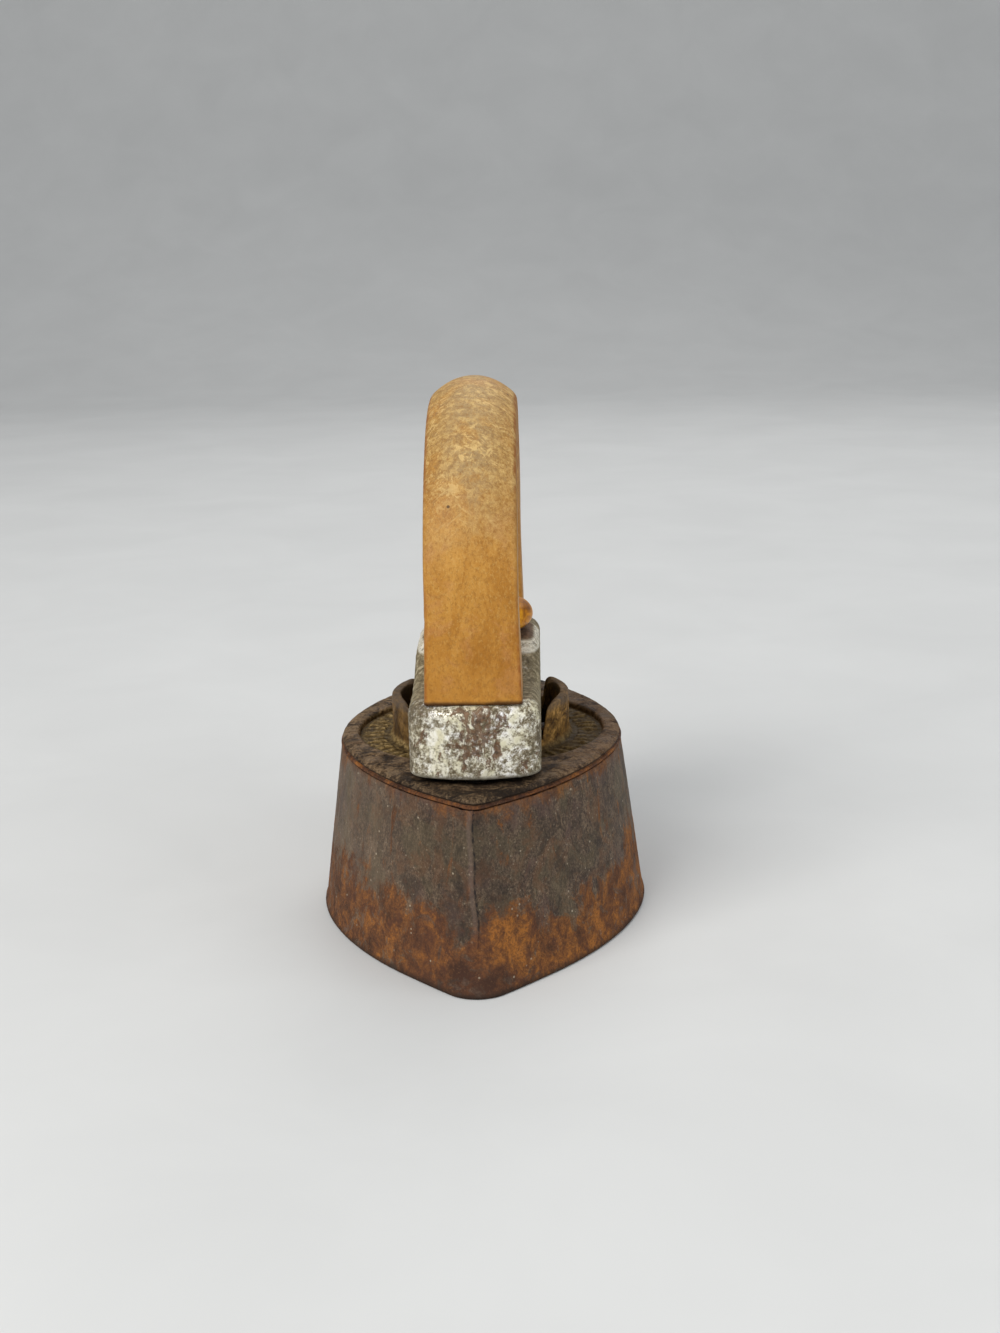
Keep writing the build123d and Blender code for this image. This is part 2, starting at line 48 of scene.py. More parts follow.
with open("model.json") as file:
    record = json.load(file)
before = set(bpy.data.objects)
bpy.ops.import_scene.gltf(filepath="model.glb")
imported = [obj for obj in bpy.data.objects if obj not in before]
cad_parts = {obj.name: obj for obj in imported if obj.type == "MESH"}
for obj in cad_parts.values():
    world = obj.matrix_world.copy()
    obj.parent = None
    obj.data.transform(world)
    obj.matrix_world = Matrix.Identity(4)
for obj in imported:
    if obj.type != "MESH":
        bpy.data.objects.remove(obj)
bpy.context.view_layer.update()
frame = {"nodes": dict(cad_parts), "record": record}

MM = 0.001
body_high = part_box("body_casting")[1]
cap_low, cap_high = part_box("top_plate")
bracket_low, bracket_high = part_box("handle_bracket")
grip_low, grip_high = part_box("wood_grip")
knob_low, knob_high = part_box("latch_knob")
rod_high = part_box("latch_spindle")[1]


# ---- mesh building

def smoothstep(value):
    """Ease from 0 to 1 with level ends, outside which it stays 0 or 1."""
    t = np.clip(value, 0, 1)
    return t * t * (3 - 2 * t)


def fractal(points, size, offset):
    """Noise from about -1 to 1 at each point; size is the coarsest feature in metres."""
    shift = Vector((offset, 2 * offset, 3 * offset))
    return np.array([noise.fractal(Vector(p) / size + shift, 1.0, 2.0, 2) for p in points])


def swell(points, size, offset):
    """The same noise from 0 to 1."""
    return 0.5 + 0.5 * fractal(points, size, offset)


def shares(count):
    """Even steps from 0 to 1, without the first."""
    return np.linspace(0, 1, count)[1:]


def arc(count, start=0.0, end=pi / 2):
    """Cosines and sines of evenly spread directions from start to end."""
    return [(cos(turn), sin(turn)) for turn in np.linspace(start, end, count)]


def add_object(name, data):
    """An object in the scene for a mesh, a light or a camera."""
    made = bpy.data.objects.new(name, data)
    bpy.context.scene.collection.objects.link(made)
    return made


def ring_mesh(name, rings, closed=False):
    """Join rings of equal length, shape (rings, points, 3), into one closed mesh.

    A closed mesh joins its last ring to its first; an open one is capped by a point at each end."""
    rings = np.asarray(rings, float)
    count, around, _ = rings.shape
    points = rings.reshape(-1, 3)
    faces = []
    for k in range(count if closed else count - 1):
        low = k * around
        high = ((k + 1) % count) * around
        for i in range(around):
            j = (i + 1) % around
            faces.append((low + i, low + j, high + j, high + i))
    if not closed:
        first = len(points)
        points = np.vstack([points, rings[0].mean(axis=0), rings[-1].mean(axis=0)])
        last_ring = (count - 1) * around
        for i in range(around):
            j = (i + 1) % around
            faces.append((first, j, i))
            faces.append((first + 1, last_ring + i, last_ring + j))
    mesh = bpy.data.meshes.new(name)
    mesh.from_pydata(points.tolist(), [], faces)
    mesh.validate()
    mesh.shade_smooth()
    return add_object(name, mesh)


def vertex_array(piece, what="co"):
    """The piece's vertices as an array, or their normals."""
    values = np.zeros(len(piece.data.vertices) * 3)
    piece.data.vertices.foreach_get(what, values)
    return values.reshape(-1, 3)


def press_in(piece, depth):
    """Move each vertex inward along its normal by depth, one number for each vertex."""
    moved = vertex_array(piece) - vertex_array(piece, "normal") * np.maximum(depth, 0)[:, None]
    piece.data.vertices.foreach_set("co", moved.ravel())
    piece.data.update()


def corner(start, control, end):
    """Twelve points of a rounded corner from start to end, both given as (across, up)."""
    t = np.linspace(0, 1, 12)[:, None]
    return (1 - t) ** 2 * start + 2 * t * (1 - t) * control + t ** 2 * end


def resample(outline, count):
    """Spread count points evenly along a closed outline, an array of shape (points, 2)."""
    loop = np.vstack([outline, outline[:1]])
    steps = np.hypot(*np.diff(loop, axis=0).T)
    along = np.concatenate([[0], np.cumsum(steps)])
    wanted = np.linspace(0, along[-1], count, endpoint=False)
    return np.column_stack([np.interp(wanted, along, loop[:, axis]) for axis in (0, 1)])


# ---- the iron's double-pointed plan

SIDE_POWER = 1.9
SIDE_ROOT = 0.84
SOLE_NOSE = (11 * MM, radians(47))  # nose radius, and the angle between side and centre line there
SEAM_NOSE = (4 * MM, radians(52))
CAVITY_NOSE = (14 * MM, radians(47))
AROUND = 960
NOSE_CROWDING = 0.30  # how much closer the points stand near the noses than at the sides


def side_x(y, half_length, half_width, nose):
    """Half the plan's width at distance y from the middle, from the widest place to a nose's tip."""
    nose_r, nose_angle = nose
    nose_y = half_length - nose_r + nose_r * sin(nose_angle)
    nose_x = nose_r * cos(nose_angle)
    join_y = 0.8 * half_length
    if y <= join_y:
        return half_width * (1 - (y / half_length) ** SIDE_POWER) ** SIDE_ROOT
    if y >= nose_y:
        return sqrt(max(nose_r ** 2 - (y - half_length + nose_r) ** 2, 0))
    inner = 1 - 0.8 ** SIDE_POWER
    join_x = half_width * inner ** SIDE_ROOT
    join_slope = (-half_width * SIDE_ROOT * inner ** (SIDE_ROOT - 1)
                  * SIDE_POWER * 0.8 ** (SIDE_POWER - 1) / half_length)
    nose_slope = -sin(nose_angle) / cos(nose_angle)
    span = nose_y - join_y
    t = (y - join_y) / span
    return (join_x * (2 * t ** 3 - 3 * t ** 2 + 1) + join_slope * span * (t ** 3 - 2 * t ** 2 + t)
            + nose_x * (3 * t ** 2 - 2 * t ** 3) + nose_slope * span * (t ** 3 - t ** 2))


def ring_angles():
    """Directions of a ring's points from the centre, crowded towards the two noses."""
    even = np.linspace(0, 2 * pi, AROUND, endpoint=False)
    return even + NOSE_CROWDING * np.sin(2 * even)


ANGLES = ring_angles()


def boat_ring(half_length, half_width, z, nose):
    """One ring of the double-pointed plan at height z."""
    nose_r = nose[0]
    body_y = np.linspace(0, half_length - nose_r, 200)
    tip = np.linspace(0, pi / 2, 60)[1:]
    y = np.concatenate([body_y, half_length - nose_r + nose_r * np.sin(tip)])
    x = np.array([side_x(v, half_length, half_width, nose) for v in y])
    quarter = np.arctan2(y, x)
    folded = np.abs(np.arctan2(np.abs(np.sin(ANGLES)), np.abs(np.cos(ANGLES))))
    return circle_ring(np.interp(folded, quarter, np.hypot(x, y)), z)


def circle_ring(radius, z, angles=ANGLES):
    """One ring; its radius and its height z are one number each or one for each point."""
    heights = np.broadcast_to(z, len(angles))
    return np.column_stack([radius * np.cos(angles), radius * np.sin(angles), heights])


# ---- body casting

SOLE_HALF_LENGTH = body_high.y
SOLE_HALF_WIDTH = body_high.x
SEAM_Z = body_high.z
SEAM_HALF_LENGTH = 70.2 * MM
SEAM_HALF_WIDTH = 43 * MM
SOLE_EDGE_R = 1.2 * MM
SHOULDER_R = 0.7 * MM
CAVITY_FLOOR = (54 * MM, 40 * MM)
CAVITY_MOUTH = (46.5 * MM, 38.4 * MM)
SOLE_THICKNESS = 15 * MM
FLASH_HEIGHT = 0.32 * MM  # a casting line runs down each nose
FLASH_HALF_WIDTH = 0.45 * MM
FLASH_WANDER = (9 * MM, 2.7 * MM)  # wavelengths of its waviness, over two pi
FLASH_SWING = (0.5 * MM, 0.2 * MM)


def body_piece():
    """Cast shell with a thick sole, a sharp taper, a casting line down each nose and a rough skin."""
    def wall(z, inset=0.0):
        rise = z / SEAM_Z
        low = boat_ring(SOLE_HALF_LENGTH - inset, SOLE_HALF_WIDTH - inset, z, SOLE_NOSE)
        high = boat_ring(SEAM_HALF_LENGTH - inset, SEAM_HALF_WIDTH - inset, z, SEAM_NOSE)
        return low * (1 - rise) + high * rise

    rings = [wall(0, inset) for inset in (30 * MM, 15 * MM, 6 * MM, 2.5 * MM)]
    rings += [wall(SOLE_EDGE_R * (1 - c), SOLE_EDGE_R * (1 - s)) for c, s in arc(6)]
    rings += [wall(z) for z in np.linspace(SOLE_EDGE_R, SEAM_Z - SHOULDER_R, 66)[1:]]
    rings += [wall(SEAM_Z - SHOULDER_R * (1 - s), SHOULDER_R * (1 - c)) for c, s in arc(5)[1:]]
    for part in np.linspace(1, 0, 12):
        length = CAVITY_FLOOR[0] + part * (CAVITY_MOUTH[0] - CAVITY_FLOOR[0])
        width = CAVITY_FLOOR[1] + part * (CAVITY_MOUTH[1] - CAVITY_FLOOR[1])
        z = SOLE_THICKNESS + part * (SEAM_Z - SOLE_THICKNESS)
        rings.append(boat_ring(length, width, z, CAVITY_NOSE))
    rings.append(rings[-1] * (1 / 3, 1 / 3, 1))
    piece = ring_mesh("body_shell", rings)
    points = vertex_array(piece)
    skin = smoothstep(points[:, 2] / (3 * MM))
    broad = swell(points, 22 * MM, 3.1)
    grit = swell(points, 2.2 * MM, 7.7)
    pits = smoothstep(fractal(points, 3.6 * MM, 1.3) * 2.2 - 0.55)
    scars = smoothstep(fractal(points * (1, 1, 0.35), 6 * MM, 9.4) * 2.5 - 0.9)
    depth = (0.30 * broad + 0.12 * grit + 0.16 * pits + 0.20 * scars) * MM
    depth += FLASH_HEIGHT
    wander = sum(swing * np.sin(points[:, 2] / length) for swing, length in zip(FLASH_SWING, FLASH_WANDER))
    flash = smoothstep(1 - np.abs(points[:, 0] - wander) / FLASH_HALF_WIDTH)
    flash *= smoothstep((points[:, 2] - 8 * MM) / (6 * MM)) * (np.abs(points[:, 1]) > 0.7 * SOLE_HALF_LENGTH)
    press_in(piece, (depth - FLASH_HEIGHT * flash) * skin)
    return piece


# ---- cap casting

CAP_TOP_Z = 54.2 * MM
CAP_LIP = 0.9 * MM  # height of the thin lip at the cap's foot, under a shallow groove
LIP_INSET = 0.12 * MM
CAP_GROOVE = 0.45 * MM
CAP_ROUND = (3.2 * MM, 1.5 * MM)  # the rim's outer rounding, across and down
CAP_HALF_LENGTH = cap_high.y
CAP_HALF_WIDTH = cap_high.x
CAP_DRAFT = 0.8 * MM
NOSE_POCKET = 0.3 * MM  # the flat inside each nose lies this much below the raised rim
RIM_WIDTH = 6.5 * MM
SCREW_SEAT_GAP = 0.35 * MM
PLUG_Z = 48.6 * MM
PLUG_INSET = 0.3 * MM
RECESS_R = 36.8 * MM
RECESS_Z = 52.4 * MM
RECESS_EDGE_R = 1.3 * MM
COLLAR_R = 27 * MM
COLLAR_INNER_R = 23.9 * MM
COLLAR_FOOT_R = 28 * MM
COLLAR_FOOT_RISE = 1.6 * MM
COLLAR_TOP_Z = cap_high.z
COLLAR_EDGE_R = 0.7 * MM
NOTCH_Z = 55.3 * MM
NOTCH_HALF_WIDTH = 18.8 * MM
NOTCH_FLARE = 1.8 * MM
NOTCH_CORNER_R = 3 * MM
WELL_Z = 44 * MM
WELL_CORNER_R = 1.5 * MM
CUP_R = COLLAR_INNER_R + 2.5 * MM
RIB_COUNT = 60
RIB_RING = (29.6 * MM, 35.6 * MM)
RIB_HEIGHT = 0.75 * MM


def notch_profile():
    """A notch seen from its end, as distances across and heights: floor, leaning side, rounded corner."""
    lean = atan2(NOTCH_FLARE, COLLAR_TOP_Z - NOTCH_Z)
    corner_x = NOTCH_HALF_WIDTH + NOTCH_FLARE + NOTCH_CORNER_R * (1 - sin(lean)) / cos(lean)
    turns = np.linspace(pi - lean, pi / 2, 12)
    across = np.concatenate([[0, NOTCH_HALF_WIDTH], corner_x + NOTCH_CORNER_R * np.cos(turns)])
    height = np.concatenate([[NOTCH_Z, NOTCH_Z], COLLAR_TOP_Z - NOTCH_CORNER_R * (1 - np.sin(turns))])
    return across, height


def collar_top(radius):
    """Height of the collar's top at each point of a ring: full height, and low across the two notches."""
    return np.interp(np.abs(radius * np.cos(ANGLES)), *notch_profile())


def cap_piece():
    """Cap with a raised rim, a round recess with a plain ribbed band, a well and a notched collar."""
    rings = [circle_ring(CUP_R * part, cap_low.z) for part in (0.5, 0.97)]
    rings += [circle_ring(CUP_R, z) for z in (cap_low.z + 0.5 * MM, PLUG_Z)]
    plug = (CAVITY_MOUTH[0] - PLUG_INSET, CAVITY_MOUTH[1] - PLUG_INSET)
    rings += [boat_ring(*plug, z, CAVITY_NOSE) for z in (PLUG_Z, SEAM_Z)]

    def edge(inset, z):
        return boat_ring(CAP_HALF_LENGTH - inset, CAP_HALF_WIDTH - inset, z, SEAM_NOSE)

    across, down = CAP_ROUND
    side_top_z = CAP_TOP_Z - down
    rings += [edge(LIP_INSET * part, SEAM_Z + 0.7 * CAP_LIP * part) for part in np.linspace(0, 1, 5)]
    rings += [edge(LIP_INSET + CAP_GROOVE * sin(pi * part) ** 2 + 0.2 * CAP_DRAFT * part,
                   SEAM_Z + 0.7 * CAP_LIP + part * (side_top_z - SEAM_Z - 0.7 * CAP_LIP))
              for part in shares(7)]
    foot_inset = LIP_INSET + 0.2 * CAP_DRAFT
    rings += [edge(foot_inset + across * (1 - c), side_top_z + down * s) for c, s in arc(12)[1:]]

    rim_edge = rings[-1]
    screws_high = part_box("cap_screws")[1]
    seat_r = screws_high.x + SCREW_SEAT_GAP
    recess_lip = circle_ring(RECESS_R + RECESS_EDGE_R, CAP_TOP_Z)
    reach = np.hypot(*(rim_edge - recess_lip)[:, :2].T)
    for part in shares(72):
        ring = rim_edge * (1 - part) + recess_lip * part
        from_rim = reach * part
        to_lip = reach * (1 - part)
        hollow = smoothstep((from_rim - RIM_WIDTH) / (3 * MM)) * smoothstep((to_lip - 2 * MM) / (3 * MM))
        ring[:, 2] = CAP_TOP_Z - NOSE_POCKET * hollow
        from_screw = np.hypot(ring[:, 0], np.abs(ring[:, 1]) - (screws_high.y - screws_high.x))
        seat_z = np.maximum(screws_high.z + from_screw - seat_r, SEAM_Z)
        ring[:, 2] = np.where(from_screw < seat_r, seat_z, ring[:, 2])
        rings.append(ring)
    rings += [circle_ring(RECESS_R + RECESS_EDGE_R * (1 - s), CAP_TOP_Z - RECESS_EDGE_R * (1 - c))
              for c, s in arc(6)[1:]]
    rings += [circle_ring(RECESS_R, z) for z in np.linspace(CAP_TOP_Z - RECESS_EDGE_R, RECESS_Z, 5)[1:]]

    ridge = 0.5 + 0.5 * np.cos(RIB_COUNT * ANGLES)
    for radius in np.linspace(RECESS_R, COLLAR_FOOT_R, 44)[1:]:
        inside = (smoothstep((radius - RIB_RING[0]) / (0.5 * MM) + 0.5)
                  * smoothstep((RIB_RING[1] - radius) / (0.5 * MM) + 0.5))
        ring = circle_ring(radius, RECESS_Z)
        worn = np.clip(0.65 + 0.8 * fractal(ring, 4.5 * MM, 12.7), 0.15, 1)
        ring[:, 2] += RIB_HEIGHT * inside * worn * smoothstep(1.6 * ridge - 0.3)
        rings.append(ring)

    outer_top, inner_top = collar_top(COLLAR_R), collar_top(COLLAR_INNER_R)
    foot_z = RECESS_Z + COLLAR_FOOT_RISE
    rings += [circle_ring(COLLAR_FOOT_R + part * (COLLAR_R - COLLAR_FOOT_R),
                          RECESS_Z + COLLAR_FOOT_RISE * part) for part in shares(5)]
    rings += [circle_ring(COLLAR_R, foot_z + part * (outer_top - COLLAR_EDGE_R - foot_z))
              for part in shares(16)]
    rings += [circle_ring(COLLAR_R - COLLAR_EDGE_R * (1 - c), outer_top - COLLAR_EDGE_R * (1 - s))
              for c, s in arc(5)[1:]]
    for part in (0.33, 0.67, 1.0):
        radius = COLLAR_R - COLLAR_EDGE_R + part * (COLLAR_INNER_R - COLLAR_R + 2 * COLLAR_EDGE_R)
        rings.append(circle_ring(radius, collar_top(radius)))
    rings += [circle_ring(COLLAR_INNER_R + COLLAR_EDGE_R * (1 - s), inner_top - COLLAR_EDGE_R * (1 - c))
              for c, s in arc(5)[1:]]
    rings += [circle_ring(COLLAR_INNER_R, inner_top - COLLAR_EDGE_R
                          + part * (WELL_Z + WELL_CORNER_R - inner_top + COLLAR_EDGE_R))
              for part in shares(18)]
    rings += [circle_ring(COLLAR_INNER_R - WELL_CORNER_R * (1 - c), WELL_Z + WELL_CORNER_R * (1 - s))
              for c, s in arc(5)[1:]]
    floor_radii = np.linspace(COLLAR_INNER_R - WELL_CORNER_R, 2 * MM, 10)[1:]
    rings += [circle_ring(radius, WELL_Z) for radius in floor_radii]

    piece = ring_mesh("cap_casting", rings)
    points = vertex_array(piece)
    broad = swell(points, 16 * MM, 5.2)
    grit = swell(points, 1.9 * MM, 2.8)
    pits = smoothstep(fractal(points, 3.0 * MM, 8.6) * 2.4 - 0.6)
    above = smoothstep((points[:, 2] - SEAM_Z) / (0.6 * MM))
    exposed = np.maximum(above, np.hypot(points[:, 0], points[:, 1]) < RECESS_R + 0.1 * MM)
    press_in(piece, (0.24 * broad + 0.15 * grit + 0.20 * pits) * MM * exposed)
    return piece


# ---- handle bracket

BRACKET_AROUND = 560
BUSH_HOLE_R = 3.3 * MM
BRACKET_BOW = 4.4 * MM
BRACKET_CORNER_R = 7 * MM
BRACKET_WALL = 2 * MM
BRACKET_EDGE_R = 4 * MM
BRACKET_LIP_R = 0.7 * MM
SHOULDER_Z = 76.2 * MM
HUMP_FLAT_Y = 6.5 * MM
HUMP_FOOT_Y = 33 * MM


def bracket_plan():
    """The bracket's plan outline and its outward normals: straight sides, round corners, bowed ends."""
    half_width, half_length = bracket_high.x, bracket_high.y
    bow_r = (half_width ** 2 + BRACKET_BOW ** 2) / (2 * BRACKET_BOW)
    bow_y = half_length - bow_r
    corner_x = half_width - BRACKET_CORNER_R
    corner_y = bow_y + sqrt((bow_r - BRACKET_CORNER_R) ** 2 - corner_x ** 2)
    join = acos(corner_x / (bow_r - BRACKET_CORNER_R))
    side = [(half_width, y) for y in np.linspace(0, corner_y, 60)]
    turn = [(corner_x + BRACKET_CORNER_R * c, corner_y + BRACKET_CORNER_R * s)
            for c, s in arc(24, 0, join)[1:]]
    bow = [(bow_r * c, bow_y + bow_r * s) for c, s in arc(30, join)[1:]]
    quarter = np.array(side + turn + bow)
    upper = np.vstack([quarter, (quarter * (-1, 1))[-2::-1]])
    outline = resample(np.vstack([upper, (upper * (1, -1))[-2:0:-1]]), BRACKET_AROUND)
    tangent = np.roll(outline, -1, axis=0) - np.roll(outline, 1, axis=0)
    tangent /= np.hypot(*tangent.T)[:, None]
    return outline, np.column_stack([tangent[:, 1], -tangent[:, 0]])


def hump(y):
    """Height of the bracket's top at distance y along it: level ends and a smooth hump between them."""
    rise = smoothstep((HUMP_FOOT_Y - np.abs(y)) / (HUMP_FOOT_Y - HUMP_FLAT_Y))
    return SHOULDER_Z + rise * (bracket_high.z - SHOULDER_Z)


def bracket_piece():
    """Inverted trough with a hump, a hole for the bush, and rounded, slightly pitted metal."""
    outline, normal = bracket_plan()
    spread = np.arctan2(outline[:, 1], outline[:, 0])
    hole = BUSH_HOLE_R * np.column_stack([np.cos(spread), np.sin(spread)])
    bottom = bracket_low.z

    def ring(inset, z):
        return np.column_stack([outline - normal * inset, np.broadcast_to(z, BRACKET_AROUND)])

    def rounded(inset, drop):
        """A ring set in from the outline, at the hump's height there less drop."""
        return ring(inset, hump((outline - normal * inset)[:, 1]) - drop)

    def web(inset, drop, parts):
        """Rings from the rounded edge in to the hole, at the hump's height less drop."""
        edge = outline - normal * inset
        made = []
        for part in parts:
            plan = edge * (1 - part) + hole * part
            made.append(np.column_stack([plan, hump(plan[:, 1]) - drop]))
        return made

    inward = np.linspace(0, 1, 44) ** 0.9
    rings = web(BRACKET_EDGE_R, 0, inward[::-1])
    rings += [rounded(BRACKET_EDGE_R * (1 - c), BRACKET_EDGE_R * (1 - s)) for c, s in arc(10, pi / 2, 0)[1:]]
    crest = hump(outline[:, 1]) - BRACKET_EDGE_R
    foot = bottom + BRACKET_LIP_R
    rings += [ring(0, crest + part * (foot - crest)) for part in shares(16)]
    rings += [ring(BRACKET_WALL / 2 * (1 - c), bottom + BRACKET_LIP_R * (1 - s))
              for c, s in arc(9, 0, pi)[1:-1]]
    under_r = BRACKET_EDGE_R - BRACKET_WALL
    under = hump((outline - normal * BRACKET_WALL)[:, 1]) - BRACKET_WALL - under_r
    rings += [ring(BRACKET_WALL, foot + part * (under - foot)) for part in np.linspace(0, 1, 10)]
    rings += [rounded(BRACKET_WALL + under_r * (1 - c), BRACKET_WALL + under_r * (1 - s))
              for c, s in arc(6)[1:]]
    rings += web(BRACKET_EDGE_R, BRACKET_WALL, shares(26))
    piece = ring_mesh("bracket_shell", rings, closed=True)
    points = vertex_array(piece)
    broad = swell(points, 14 * MM, 4.4)
    pits = smoothstep(fractal(points, 1.7 * MM, 6.1) * 2.4 - 0.4)
    press_in(piece, (0.14 * broad + 0.09 * pits) * MM)
    return piece


# ---- wooden grip

GRIP_AROUND = 120
GRIP_FOOT = (0.5 * MM, 0.9 * MM, 2.0 * MM)  # face crown, outer and inner edge rounds at the foot
GRIP_SPRING = (1.6 * MM, 1.3 * MM, 5.0 * MM)  # the same where the legs turn into the arch
GRIP_CROWN = (6.0 * MM, 1.5 * MM, 8.5 * MM)  # and at the top
GRIP_FACE_POWER = 2.1
GRIP_ARCH_HALF_WIDTH = 12.9 * MM
GRIP_HALF_THICKNESS = 11 * MM


def grip_section(half_width, crown, outer_r, inner_r):
    """Cross-section of the grip: x across, y away from the hand gap, with a crowned outer face."""
    def face(x):
        return GRIP_HALF_THICKNESS - crown * (x / half_width) ** GRIP_FACE_POWER

    x = np.linspace(0, half_width - outer_r, 24)
    outer = np.column_stack([x, face(x)])
    outer_corner = corner(outer[-1], np.array([half_width, face(half_width)]),
                          np.array([half_width, face(half_width) - outer_r]))
    inner_corner = corner(np.array([half_width, inner_r - GRIP_HALF_THICKNESS]),
                          np.array([half_width, -GRIP_HALF_THICKNESS]),
                          np.array([half_width - inner_r, -GRIP_HALF_THICKNESS]))
    half = np.vstack([outer, outer_corner[1:], inner_corner, [(0, -GRIP_HALF_THICKNESS)]])
    return resample(np.vstack([half, (half * (-1, 1))[-2:0:-1]]), GRIP_AROUND)


def grip_piece():
    """D-shaped wooden arch on squared legs, crowned and rounded towards its top by wear."""
    foot_half_width = grip_high.x
    outer_r = grip_high.y
    spring_z = grip_high.z - outer_r
    foot_z = grip_low.z
    mean_r = outer_r - GRIP_HALF_THICKNESS
    stations = [(-1, z) for z in np.linspace(foot_z, spring_z, 26)[:-1]]
    stations += [(0, a) for a in np.linspace(pi, 0, 132)]
    stations += [(1, z) for z in np.linspace(spring_z, foot_z, 26)[1:]]
    rings = []
    for leg, place in stations:
        half_width = GRIP_ARCH_HALF_WIDTH
        if leg:
            rise = (place - foot_z) / (spring_z - foot_z)
            half_width = foot_half_width + rise * (GRIP_ARCH_HALF_WIDTH - foot_half_width)
            shape = [a + (b - a) * smoothstep(rise) for a, b in zip(GRIP_FOOT, GRIP_SPRING)]
            centre = np.array([0, leg * mean_r, place])
            away = np.array([0, leg, 0])
        else:
            rise = sin(place)
            shape = [a + (b - a) * smoothstep(rise) for a, b in zip(GRIP_SPRING, GRIP_CROWN)]
            away = np.array([0, cos(place), sin(place)])
            centre = np.array([0, 0, spring_z]) + mean_r * away
        section = grip_section(half_width, *shape)
        rings.append(centre + section[:, :1] * (1, 0, 0) + section[:, 1:] * away)
    piece = ring_mesh("grip_arch", rings)
    points = vertex_array(piece)
    inside = smoothstep((points[:, 2] - foot_z) / (2 * MM))
    broad = swell(points, 30 * MM, 2.2)
    dents = smoothstep(fractal(points, 9 * MM, 11.5) * 2.6 - 1.1)
    fine = swell(points * (1, 1, 0.25), 1.2 * MM, 0.7)
    press_in(piece, (0.30 * broad + 0.22 * dents + 0.03 * fine) * MM * inside)
    return piece


# ---- knob

KNOB_AROUND = 144
KNOB_BASE_R = 12.4 * MM
KNOB_CROWN_R = 12.2 * MM
KNOB_CROWN_DROP = 1.1 * MM


def knob_piece():
    """Turned wooden button: round rim, low dome with two shallow turned lines, blind hole below."""
    height = knob_high.z - knob_low.z
    rim_r = knob_high.x - 0.05 * MM
    hole_r = rod_high.x
    hole_top = rod_high.z
    waist = 0.43 * height
    profile = [(hole_r, hole_top), (hole_r, knob_low.z)]
    profile += [(r, knob_low.z) for r in np.linspace(hole_r, KNOB_BASE_R, 10)[1:]]
    profile += [(KNOB_BASE_R + (rim_r - KNOB_BASE_R) * s, knob_low.z + waist * (1 - c))
                for c, s in arc(12)[1:]]
    crown_z = knob_high.z - KNOB_CROWN_DROP
    profile += [(KNOB_CROWN_R + (rim_r - KNOB_CROWN_R) * c,
                 knob_low.z + waist + (crown_z - knob_low.z - waist) * s) for c, s in arc(14)[1:]]
    for r in np.linspace(KNOB_CROWN_R, 0.6 * MM, 40)[1:]:
        groove = sum(max(0.0, 1 - ((r - place) / (0.5 * MM)) ** 2) for place in (10.2 * MM, 4.0 * MM))
        profile.append((r, knob_high.z - KNOB_CROWN_DROP * (r / KNOB_CROWN_R) ** 2 - 0.25 * MM * groove))
    spin = np.linspace(0, 2 * pi, KNOB_AROUND, endpoint=False)
    piece = ring_mesh("knob_button", [circle_ring(r, z, spin) for r, z in profile])
    points = vertex_array(piece)
    wear = swell(points, 8 * MM, 3.3)
    press_in(piece, 0.10 * MM * wear)
    return piece


# ---- return spring and catch spring

COIL_TURNS = 5.5
COIL_WIRE_R = 0.45 * MM
STRIP_HALF_WIDTH = 7 * MM
STRIP_THICKNESS = 1 * MM
STRIP_BEND = 0.9 * MM
STRIP_HALF_LENGTH = 7.6 * MM  # the flat part under the hump; a leg begins at each end of it
# A leg's bends, as distances from the middle and heights, down to its hooked foot.
LEG_BENDS = np.array([(8.6, 73.0), (3.0, 64.6), (4.0, 60.0), (4.0, 50.4), (1.5, 48.8), (4.4, 45.8)]) * MM


def coil_piece(low, high):
    """Return spring: a round wire coil."""
    radius = high.y - COIL_WIRE_R
    turns = np.linspace(0, 2 * pi * COIL_TURNS, 200)
    climb = (high.z - low.z - 2 * COIL_WIRE_R) / turns[-1]
    lean = atan2(climb, radius)
    around = np.linspace(0, 2 * pi, 12, endpoint=False)
    rings = []
    for turn in turns:
        out = np.array([cos(turn), sin(turn), 0])
        down = np.array([-sin(turn) * sin(lean), cos(turn) * sin(lean), -cos(lean)])
        centre = radius * out + (0, 0, low.z + COIL_WIRE_R + climb * turn)
        rings.append(centre + COIL_WIRE_R * (np.outer(np.cos(around), out) + np.outer(np.sin(around), down)))
    return ring_mesh("coil_spring", rings)


def strip_piece(top_z):
    """The flat part of the catch spring, with its hole for the bush."""
    spread = np.linspace(0, 2 * pi, 120, endpoint=False)
    direction = np.column_stack([np.cos(spread), np.sin(spread)])
    halves = np.array([STRIP_HALF_WIDTH, STRIP_HALF_LENGTH])
    reach = np.min(halves / np.maximum(np.abs(direction), 1e-6), axis=1)
    edges = [direction * reach[:, None], direction * BUSH_HOLE_R]
    rings = [np.column_stack([edge, np.full(len(edge), z)])
             for edge, z in zip([edges[0], edges[0], edges[1], edges[1]],
                                [top_z - STRIP_THICKNESS, top_z, top_z, top_z - STRIP_THICKNESS])]
    piece = ring_mesh("catch_strip", rings, closed=True)
    piece.data.shade_flat()
    return piece


